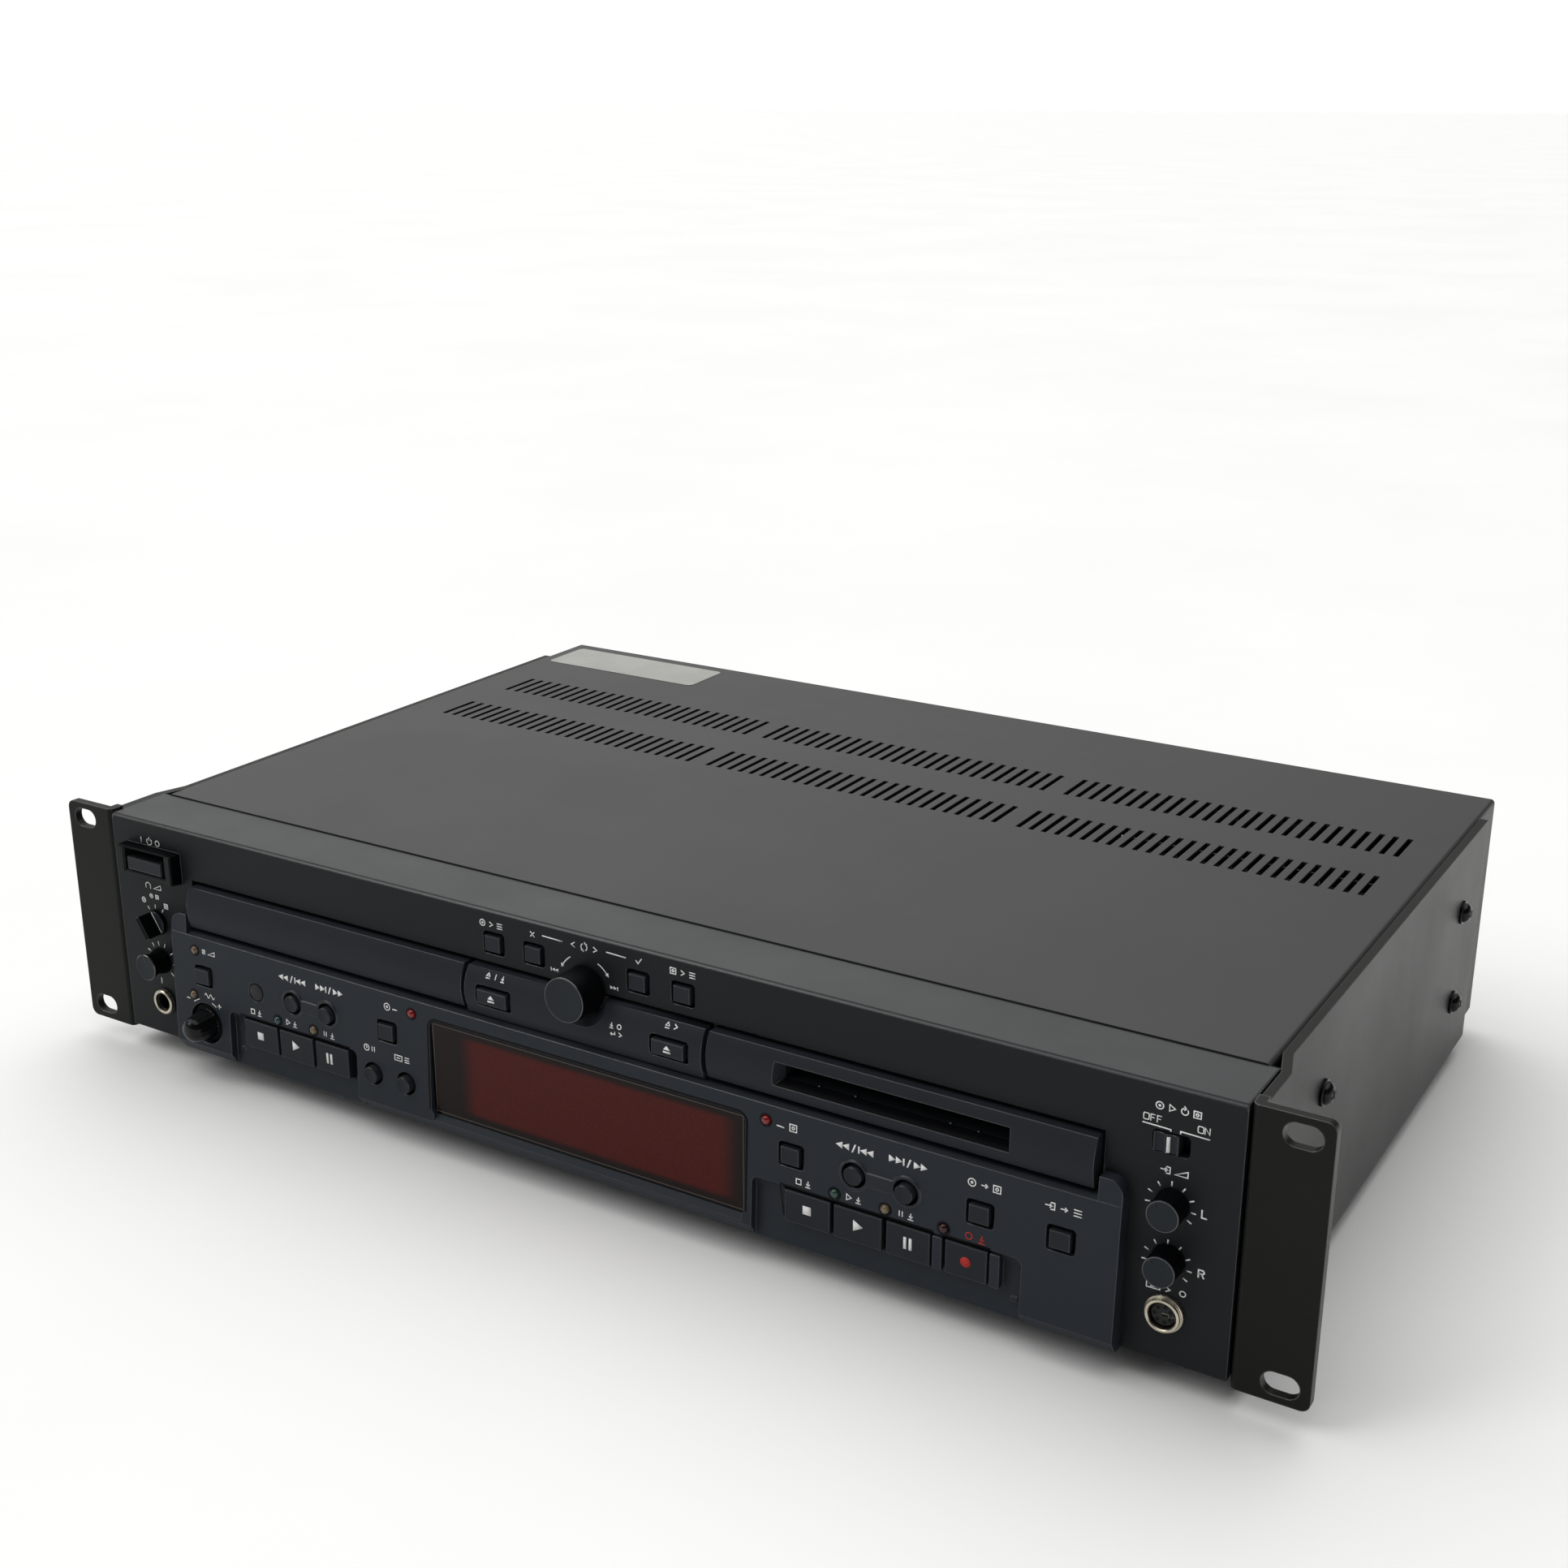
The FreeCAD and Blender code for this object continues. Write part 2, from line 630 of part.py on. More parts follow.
def md_mechanism():
    """Loading mechanism: folded side plates, a deck plate and a holder that takes the disc."""
    x0, x1 = slot_x[0] - 4.0, slot_x[1] + 4.0
    y0, y1 = 6.2, 112.0
    low, high = slot_z[0] - 1.2, slot_z[1] + 1.0
    plate = 1.2
    deck_low, side_low = low - 9.0, low - 22.0
    side = [(y0, high + 5.0), (y1, high + 5.0), (y1, side_low), (y0 + 3, side_low), (y0 + 3, 3.5), (y0, 3.5)]
    sides = [along_x(side, x, x + plate) for x in (x0, x1 - plate)]
    deck = box(x0, x1, y0 + 4, y1, deck_low, deck_low + plate)
    # holder: floor, roof and the stop the disc rests against
    inner0, inner1 = x0 + plate, x1 - plate
    front, rear = holder_y
    holder = [box(inner0, inner1, front, rear, low - 1.0, low),
              box(inner0, inner1, front, rear, high + 1.0, high + 2.0),
              box(inner0, inner1, rear - 1.0, rear, low, high + 1.0)]
    motor = rod_z((x0 + x1) / 2 - 12, 62.0, 11.0, low - 20.0, deck_low)
    sled = box(x0 + 14, x1 - 14, 30, 44, deck_low + plate, low - 2.0)
    cross = box(x0, x1, y1 - 14, y1, deck_low, high - 4)
    legs = []
    for x in (x0, x1 - plate):
        for y in (y0 + 12, y1 - 16):
            legs.append(box(x, x + plate, y, y + 10, panel_bottom + floor_sheet, side_low))
    body = joined(sides + [deck, motor, sled, cross] + holder + legs)
    window = box(x0 + 18, x1 - 18, 28.0, 76.0, low - 2.0, low + 1)
    pin_holes = rod_x(shutter_y + 0.5, hinge_z, flap_pin_r + 0.08, x0 - 1, x1 + 1)
    return body.cut([window, pin_holes])


# disc loader

def tray_front():
    x0, x1 = -side_block_outer, -side_block_inner
    low, high = block_low + tray_front_wall, block_top - tray_front_wall
    body = crowned_block(x0, x1, -4.9, tray_front_rear)
    hollow = box(x0 + 2.4, x1 - 2.4, -0.6, tray_front_rear + 0.1, low, high)
    ribs = [box(x, x + 1.4, -0.6, tray_front_rear, low, high) for x in (-152, -113, -74)]
    return joined([body.cut(hollow)] + ribs)


def cd_tray():
    """Drawer with a stepped well for 12 cm and 8 cm discs and an opening for the spindle."""
    cx, cy = disc_centre
    low = tray_top - tray_thickness
    plate = box(cx - tray_half_width, cx + tray_half_width, tray_front_rear, tray_rear, low, tray_top)
    wells = [
        rod_z(cx, cy, 60.8, tray_top - 4.6, tray_top + 1),
        rod_z(cx, cy, 40.6, tray_top - 5.2, tray_top + 1),
        rod_z(cx, cy, 19.5, low - 1, tray_top + 1),
        box(cx - 13, cx + 13, cy, cy + 52, low - 1, tray_top + 1),
        box(cx - 12, cx + 12, -1, 20.0, tray_top - 4.6, tray_top + 1),
    ]
    body = plate.cut(wells)
    rails = [box(x, x + 2.0, 6.0, tray_rear, low, low + 3.0)
             for x in (cx - tray_half_width - 2.0, cx + tray_half_width)]
    return joined([body] + rails)


def cd_loader_frame():
    """Fixed frame of the loader: runners for the tray, a traverse well and four legs."""
    cx, cy = disc_centre
    low = tray_top - tray_thickness
    half = tray_half_width + 3.4
    y0, y1 = 5.0, 162.0
    floor_z = panel_bottom + floor_sheet
    runners = []
    for side in (-1, 1):
        channel = [(0, -6), (0, 4.6), (-2.8, 4.6), (-2.8, 3.4),
                   (-1.0, 3.4), (-1.0, -0.4), (-6.0, -0.4), (-6.0, -6)]
        runners.append(along_y([(cx + side * (half + x), low + z) for x, z in channel], y0, y1))
    deck = box(cx - half, cx + half, y0, y1, low - 6, low - 4.5)
    rear = box(cx - half, cx + half, y1 - 2, y1, low - 6, low + 4.6)
    traverse = box(cx - 34, cx + 34, cy - 40, cy + 56, low - 20, low - 4.5)
    motor = rod_z(cx - 48, 26, 12, low - 22, low - 6)
    legs = []
    for x in (cx - half + 5, cx + half - 5):
        for y in (26.0, 136.0):
            legs.append(box(x - 4.5, x + 4.5, y - 4.5, y + 4.5, floor_z, low - 6))
    body = joined([deck, rear, traverse, motor] + runners + legs)
    well = box(cx - 31, cx + 31, cy - 37, cy + 53, low - 18, low)
    body = body.cut([well, box(cx - 9, cx + 9, y1 - 3, y1 + 1, low - 3, low + 3)])
    bearing = rod_z(cx, cy, 3.6, low - 18, low - 10).cut(rod_z(cx, cy, spindle_r + 0.06, low - 18, low - 9))
    return joined([body, bearing])


def disc_turntable():
    """Spindle motor rotor with the hub that centres the disc."""
    cx, cy = disc_centre
    low = tray_top - tray_thickness
    return joined([rod_z(cx, cy, spindle_r, low - 17.6, low - 6.0), rod_z(cx, cy, 14.5, low - 6.0, low - 2.6),
                   rod_z(cx, cy, 7.3, low - 2.6, low - 0.8)])


# boards and supply

def switch_block(x, z, y0):
    return box(x - 3, x + 3, y0 - 1.9, y0, z - 3, z + 3)


def control_body(x, z, board_y):
    """Square case of a rotary control between the panel and its board."""
    return box(x - 5.5, x + 5.5, panel_skin, board_y, z - 5.5, z + 5.5)


def front_board():
    """Display tube on the key board, with the strips that carry the menu keys and the controls."""
    y0 = board_front_y
    key_board = box(-181, 181, y0, y0 + board_sheet, -36.5, 2.2)
    tube = box(-60.5, 60.5, window_face_y + pane_thickness, y0, window_low + 2, window_top - 1.6)
    places = [place[:2] for place in list(small_buttons.values()) + list(round_buttons.values())]
    switches = [switch_block(x, z, y0) for x, z in places]
    switches += [switch_block((x0 + x1) / 2, (key_low + key_top) / 2, y0) for x0, x1 in keys.values()]
    lower = joined([key_board, tube] + switches).cut([
        rod_y(pitch_place[0], pitch_place[1], 3.6, y0 - 3, y0 + 3)])
    strip_y = panel_skin + 5.2
    strip = [box(-48, 48, strip_y, strip_y + board_sheet, 26.0, 38.0)]
    strip += [switch_block(x, menu_z, strip_y) for x in menu_buttons.values()]
    strip += [box(x, x + 4, panel_skin, strip_y, 33.0, 38.0) for x in (-48, 44)]
    encoder = [box(-7, 7, strip_y + board_sheet, strip_y + 8.4, dial_z - 7, dial_z + 7),
               rod_y(0, dial_z, 4.6, strip_y - 3, strip_y + board_sheet)]
    upper = joined(strip + encoder).cut(rod_y(0, dial_z, dial_shaft_r + 0.3, -1, strip_y + 7))
    side_y = panel_skin + 7.0
    power_switch = box(-206, -190, side_y - 3.4, side_y, 23, 34)
    left = [box(-208, -189.5, side_y, side_y + board_sheet, -20.0, 36.0), power_switch]
    left += [control_body(left_column_x, z, side_y) for z in (selector_z, level_z)]
    right = [box(189.5, 208, side_y, side_y + board_sheet, -18.0, 34.0)]
    right += [control_body(right_column_x, z, side_y) for z in input_places]
    right.append(box(slider_place[0] - 6.5, slider_place[0] + 6.5, panel_skin + 2.2, side_y,
                     slider_place[1] - 4, slider_place[1] + 4))
    return Part.Compound([lower, upper, joined(left), joined(right)])


def display_window():
    return soft_box_y(0, (window_top + window_low) / 2, 2 * window_half_width - 0.4,
                      window_top - window_low - 0.4, window_corner - 0.2,
                      window_face_y, window_face_y + pane_thickness)


def chip(x, y, w, d, h):
    z = board_z() + board_sheet
    return box(x, x + w, y, y + d, z, z + h)


def main_board():
    z = board_z()
    plate = box(-78, 202, 146, 268, z, z + board_sheet)
    parts = [chip(-40, 170, 24, 24, 3.0), chip(10, 166, 20, 20, 3.0), chip(60, 176, 28, 20, 3.0),
             chip(120, 170, 16, 30, 3.4), chip(150, 176, 14, 14, 2.4), chip(-30, 220, 30, 12, 4.0)]
    cans = [rod_z(x, 228, 5.0, z + board_sheet, z + 13.0) for x in (60, 110, 160)]
    return joined([plate] + parts + cans)


def power_supply():
    """Mains board with its transformer, rectifier heat sink and reservoir capacitors."""
    z = board_z()
    top = z + board_sheet
    plate = box(-205, -87, 176, 268, z, top)
    core = box(-186, -140, 188, 226, top, z + 36)
    winding = box(-180, -146, 182, 232, z + 6, z + 31)
    sink = [box(-128, -96, 186 + 6 * i, 187.6 + 6 * i, top, z + 30) for i in range(5)]
    sink.append(box(-128, -96, 184, 212, top, z + 5))
    cans = [rod_z(x, 244, 8.0, top, z + 27) for x in (-130, -110)]
    return joined([plate, core, winding] + sink + cans)


# sockets

def phones_jack():
    """Quarter-inch socket with its turned ring nut on the panel face."""
    ring = rod_y(left_column_x, jack_z, 5.2, -2.0, 0.0)
    barrel = rod_y(left_column_x, jack_z, 4.3, 0.0, panel_skin)
    housing = box(left_column_x - 8, left_column_x + 8, panel_skin, 34.0, jack_z - 8, jack_z + 8)
    bore = rod_y(left_column_x, jack_z, 3.2, -3, 31.0)
    return joined([ring, barrel, housing]).cut(bore)


def keyboard_socket():
    """Round six-pin socket with a plated shell."""
    x, z = right_column_x, din_z
    ring = rod_y(x, z, 5.8, -2.8, 0.0)
    barrel = rod_y(x, z, 4.8, 0.0, panel_skin)
    body = box(x - 7, x + 7, panel_skin, 15.0, z - 7, z + 7)
    turns = [math.radians(a) for a in (-75, -35, 35, 90, 145, 215)]
    pins = [box(x + 2.6 * math.cos(a) - 0.45, x + 2.6 * math.cos(a) + 0.45, -4, 2,
                z + 2.6 * math.sin(a) - 0.45, z + 2.6 * math.sin(a) + 0.45) for a in turns]
    key = box(x - 1.6, x + 1.0, -4, 2, z - 0.8, z + 0.4)
    return joined([ring, barrel, body]).cut(pins + [key])


def rca_jacks():
    """Four pairs of phono sockets, each pair moulded on one block."""
    group = []
    y1 = cover_rear - sheet
    for x in phono_x:
        block = box(x - 12.0, x + 12.0, y1 - 12, y1 + 1.2, -31.0, 1.0)
        parts = [block]
        for z in (-23.0, -7.0):
            parts.append(rod_y(x, z, 4.15, y1 + 1.2, rear_reach))
        group.append(joined(parts))
    return Part.Compound(group)


def optical_ports():
    """Three optical sockets, each closed by its sprung dust door."""
    group = []
    y1 = cover_rear - sheet
    for x in optical_x:
        shell = box(x - 6.8, x + 6.8, y1 - 14, y1 + 2.4, 8.2, 19.8)
        group.append(shell.cut(box(x - 3.4, x + 3.4, y1 + 1.4, y1 + 3, 10.6, 17.4)))
    return Part.Compound(group)


def ac_inlet():
    """Appliance inlet with three blades in a deep cup."""
    y1 = cover_rear - sheet
    x, z = -182.0, -10.0
    flange = soft_box_y(x, z, 48.0, 28.0, 5.0, y1, y1 + 3.0)
    cup = box(x - 14.6, x + 14.6, y1 - 20, y1 + 3.0, z - 11.5, z + 11.5)
    hollow = box(x - 12.4, x + 12.4, y1 - 14, y1 + 4, z - 8.6, z + 8.6)
    blades = [box(x + dx - 1.0, x + dx + 1.0, y1 - 14, y1, z + dz - 2, z + dz + 2)
              for dx, dz in ((-7.0, -2.0), (0.0, 3.0), (7.0, -2.0))]
    return joined([joined([flange, cup]).cut(hollow)] + blades)


# knobs

def dial_shaft():
    return rod_y(0, dial_z, dial_shaft_r, dial_front_y + 2.2, panel_skin + 10.6)


def jog_dial():
    """Plain-sided dial, hollow behind, with a bore over the shaft."""
    y0, y1 = dial_front_y, dial_rear_y
    hollow = rod_y(0, dial_z, dial_r - 1.5, y0 + 6.0, y1 + 1)
    bore = rod_y(0, dial_z, dial_shaft_r + 0.3, y0 + 1.8, y1 + 1)
    return rod_y(0, dial_z, dial_r, y0, y1).cut([hollow, bore])


def small_knob(x, z):
    """Straight-sided knob with a line cut across its face to the rim."""
    grip = rod_y(x, z, 4.8, knob_front_y, knob_rear_y)
    knob = joined([grip, rod_y(x, z, knob_shaft_r, knob_rear_y, panel_skin - 0.3)])
    return knob.cut(box(x - 0.3, x + 0.3, knob_front_y - 1, knob_front_y + 0.4, z + 1.6, z + 6))


def input_knob(z):
    knob = small_knob(right_column_x, z)
    knob.rotate(Vector(right_column_x, 0, z), Vector(0, 1, 0), input_knob_turn)
    return knob


def selector_knob():
    """Round skirt with a straight finger bar, standing at the first of its three places."""
    x, z = left_column_x, selector_z
    skirt = rod_y(x, z, 4.9, -2.0, knob_rear_y)
    shaft = rod_y(x, z, knob_shaft_r, knob_rear_y, panel_skin - 0.3)
    bar = box(x - 1.3, x + 1.3, knob_front_y, -1.8, z - 4.6, z + 4.6)
    knob = joined([skirt, shaft, bar])
    knob.rotate(Vector(x, 0, z), Vector(0, 1, 0), -selector_step)
    return knob


def pitch_knob():
    """Fluted cone with a domed tip over a round skirt sunk in the console."""
    x, z = pitch_place
    steps = [(6.2, -5.4), (4.9, -13.4), (3.9, -15.0), (2.4, -15.8)]
    cone = faceted_y([ring_y(x, z, [r, r * flute_waist] * flute_count, y) for r, y in steps])
    return joined([cone, rod_y(x, z, pitch_skirt_r, -5.4, -2.7), rod_y(x, z, knob_shaft_r, -2.7, 4.6)])


def cont_play_slider():
    """Slide key resting at the left end of its well, with a raised centre rib."""
    x0 = slider_place[0] - slider_well[0] / 2 + 0.6
    z = slider_place[1]
    knob = box(x0, x0 + 7.2, -0.9, panel_skin + 1.0, z - 2.8, z + 2.8)
    dish = [rod_z(x0 + 1.75, -2.4, 2.1, z - 4, z + 4), rod_z(x0 + 5.45, -2.4, 2.1, z - 4, z + 4)]
    stem = box(x0 + 2.6, x0 + 4.6, panel_skin + 1.0, panel_skin + 1.8, z - 1.5, z + 1.5)
    return joined([knob.cut(dish), stem])


# buttons and keys

def capped(cap, flange, x, z, flange_y):
    """Cap, its retaining flange behind the panel and the plunger that meets the switch."""
    plunger = box(x - 1.0, x + 1.0, flange_y, flange_y + plunger_length, z - 1.0, z + 1.0)
    return joined([cap, flange, plunger])


def square_button(x, z, well, face_y, flange_y):
    width, height = well[0] - 2 * well_gap, well[1] - 2 * well_gap
    cap = box(x - width / 2, x + width / 2, face_y - cap_proud, flange_y, z - height / 2, z + height / 2)
    front = [e for e in cap.Edges if abs(e.CenterOfMass.y - (face_y - cap_proud)) < 0.01]
    cap = cap.makeChamfer(0.25, front)
    flange = box(x - well[0] / 2 - 0.8, x + well[0] / 2 + 0.8, flange_y, flange_y + flange_thickness,
                 z - well[1] / 2 - 0.8, z + well[1] / 2 + 0.8)
    return capped(cap, flange, x, z, flange_y)


def round_button(x, z, proud):
    cap = rod_y(x, z, round_cap_r, console_y(z) - proud, flange_front)
    reach = round_well_r + 0.6
    flange = box(x - reach, x + reach, flange_front, flange_front + flange_thickness, z - reach, z + reach)
    return capped(cap, flange, x, z, flange_front)


def long_key(x0, x1):
    """Transport key with a flat face and a softened edge."""
    face_y = key_face_y()
    cap = box(x0, x1, face_y, flange_front, key_low, key_top)
    front = [e for e in cap.Edges if abs(e.CenterOfMass.y - face_y) < 0.01]
    cap = cap.makeChamfer(0.3, front)
    flange = box(x0, x1, flange_front, flange_front + flange_thickness, key_low - 1.1, key_top + 1.3)
    return capped(cap, flange, (x0 + x1) / 2, (key_low + key_top) / 2, flange_front)


def power_button():
    x0, x1, z0, z1 = power_cap
    face_y = power_frame_y - 0.6
    cap = box(x0, x1, face_y, panel_skin - 0.4, z0, z1)
    front = [e for e in cap.Edges if abs(e.CenterOfMass.y - face_y) < 0.01]
    return cap.makeChamfer(0.4, front)


def indicator_lamps():
    """Nine round-topped lamps standing on the key board."""
    group = []
    for x, z in lamp_places.values():
        seat = console_y(z) + 0.2
        steps = [(0.8, seat - 1.2), (lamp_r, seat - 0.2), (lamp_r, board_front_y)]
        group.append(faceted_y([ring_y(x, z, [r] * 12, y) for r, y in steps]))
    return Part.Compound(group)


def remote_window():
    x, z = remote_place
    return rod_y(x, z, remote_r, console_y(z) - 0.1, board_front_y)


def pieces():
    """Every sub-part by name."""
    parts = {
        "bottom_chassis": bottom_chassis(), "top_cover": top_cover(), "rear_panel": rear_panel(),
        "feet": feet(), "rack_ear_left": rack_ear(-1), "rack_ear_right": rack_ear(1),
        "front_panel": front_panel(), "control_console": control_console(),
        "centre_block": centre_block(), "md_slot_bezel": md_slot_bezel(), "md_shutter": md_shutter(),
        "md_mechanism": md_mechanism(),
        "tray_front": tray_front(), "cd_tray": cd_tray(), "cd_loader_frame": cd_loader_frame(),
        "disc_turntable": disc_turntable(), "front_board": front_board(), "display_window": display_window(),
        "main_board": main_board(), "power_supply": power_supply(), "phones_jack": phones_jack(),
        "keyboard_socket": keyboard_socket(), "rca_jacks": rca_jacks(), "optical_ports": optical_ports(),
        "ac_inlet": ac_inlet(), "dial_shaft": dial_shaft(), "jog_dial": jog_dial(),
        "phones_level_knob": small_knob(left_column_x, level_z), "phones_selector_knob": selector_knob(),
        "input_left_knob": input_knob(input_places[0]), "input_right_knob": input_knob(input_places[1]),
        "pitch_knob": pitch_knob(), "cont_play_slider": cont_play_slider(), "power_button": power_button(),
        "indicator_lamps": indicator_lamps(), "remote_window": remote_window(),
    }
    for name, (x, z) in small_buttons.items():
        parts[name] = square_button(x, z, small_well, console_y(z), flange_front)
    for name, x in menu_buttons.items():
        parts[name] = square_button(x, menu_z, menu_well, 0.0, panel_skin + flange_front)
    for name, x in wide_buttons.items():
        parts[name] = square_button(x, wide_z, wide_well, block_front + 0.1, flange_front)
    for name, place in round_buttons.items():
        parts[name] = round_button(*place)
    for name, (x0, x1) in keys.items():
        parts[name] = long_key(x0, x1)
    return parts


os.makedirs("parts", exist_ok=True)
for piece_name, piece_shape in pieces().items():
    export(piece_name, piece_shape)
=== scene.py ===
import json
import math

import bmesh
import bpy
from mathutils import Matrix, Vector


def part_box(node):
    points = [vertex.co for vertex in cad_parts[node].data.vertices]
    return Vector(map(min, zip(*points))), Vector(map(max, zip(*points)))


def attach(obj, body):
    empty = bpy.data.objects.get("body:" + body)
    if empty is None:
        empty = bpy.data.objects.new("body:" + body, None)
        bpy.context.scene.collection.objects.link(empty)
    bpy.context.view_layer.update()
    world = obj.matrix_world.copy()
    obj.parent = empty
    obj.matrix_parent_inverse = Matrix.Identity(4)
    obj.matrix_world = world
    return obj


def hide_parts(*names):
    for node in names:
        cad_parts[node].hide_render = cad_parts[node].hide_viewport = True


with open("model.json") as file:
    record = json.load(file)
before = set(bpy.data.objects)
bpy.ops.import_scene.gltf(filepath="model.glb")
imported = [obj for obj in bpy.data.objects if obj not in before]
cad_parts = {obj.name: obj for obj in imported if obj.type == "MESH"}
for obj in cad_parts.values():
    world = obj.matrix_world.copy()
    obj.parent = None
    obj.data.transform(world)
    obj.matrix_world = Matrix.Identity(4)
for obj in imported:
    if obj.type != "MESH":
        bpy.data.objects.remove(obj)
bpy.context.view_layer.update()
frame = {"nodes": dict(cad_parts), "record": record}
nodes = frame["nodes"]
bodyOf = {node: body for body, names in frame["record"]["behaviour"]["bodies"].items() for node in names}
mm = 0.001
scene = bpy.context.scene
# middle of the four rack slots, on the face of the front panel
rackCentre = Vector(next(m["pos_m"] for m in frame["record"]["mounts"] if m["name"] == "rack_slots"))


def spot(x, y, z):
    # a point in millimetres from the rack centre: right, back and up
    return rackCentre + Vector((x, y, z)) * mm


def middle(node):
    # centre across, front face and centre up of a CAD node, in the same millimetres
    low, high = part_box(node)
    centre = ((low + high) / 2 - rackCentre) / mm
    return centre.x, (low.y - rackCentre.y) / mm, centre.z


# materials

def tint(code):
    # sRGB hex to the linear colour that a shader wants
    parts = [int(code[i:i + 2], 16) / 255 for i in (0, 2, 4)]
    return [c / 12.92 if c <= 0.04045 else ((c + 0.055) / 1.055) ** 2.4 for c in parts] + [1]


def addNode(tree, kind, given=None):
    # each input or setting takes a value, a socket, or a node for its first output
    node = tree.nodes.new("ShaderNode" + kind)
    for key, value in (given or {}).items():
        if isinstance(value, bpy.types.Node):
            value = value.outputs[0]
        if isinstance(value, bpy.types.NodeSocket):
            tree.links.new(value, node.inputs[key])
        elif isinstance(key, int) or key in node.inputs:
            node.inputs[key].default_value = value
        else:
            setattr(node, key, value)
    return node


times, larger, eased = {"operation": "MULTIPLY"}, {"operation": "MAXIMUM"}, {"interpolation_type": "SMOOTHSTEP"}
# dot product of the softened normal with the true one, from a flat face to an edge
edgeTurn = {"From Min": 0.995, "From Max": 0.9}
# places of the two tones on the drift, and the share of the drift in what is worn
toneStops = (0.36, 0.64)
wornDrift = 0.12
coatRough = 0.08
# zones of the rounded top edge, by the height part of its softened normal
crownZones = {"rise": (0.1, 0.3), "steep": (0.8, 0.68), "shallow": (0.68, 0.8), "near": (0.992, 0.975)}
# two tones that drift over patch mm, a grain of a size and height in mm, edges softened over round mm
usualLook = {"patch": 5, "rough": 0.5, "spread": 0.05, "grain": 0.3, "height": 0.006, "round": 0.2}


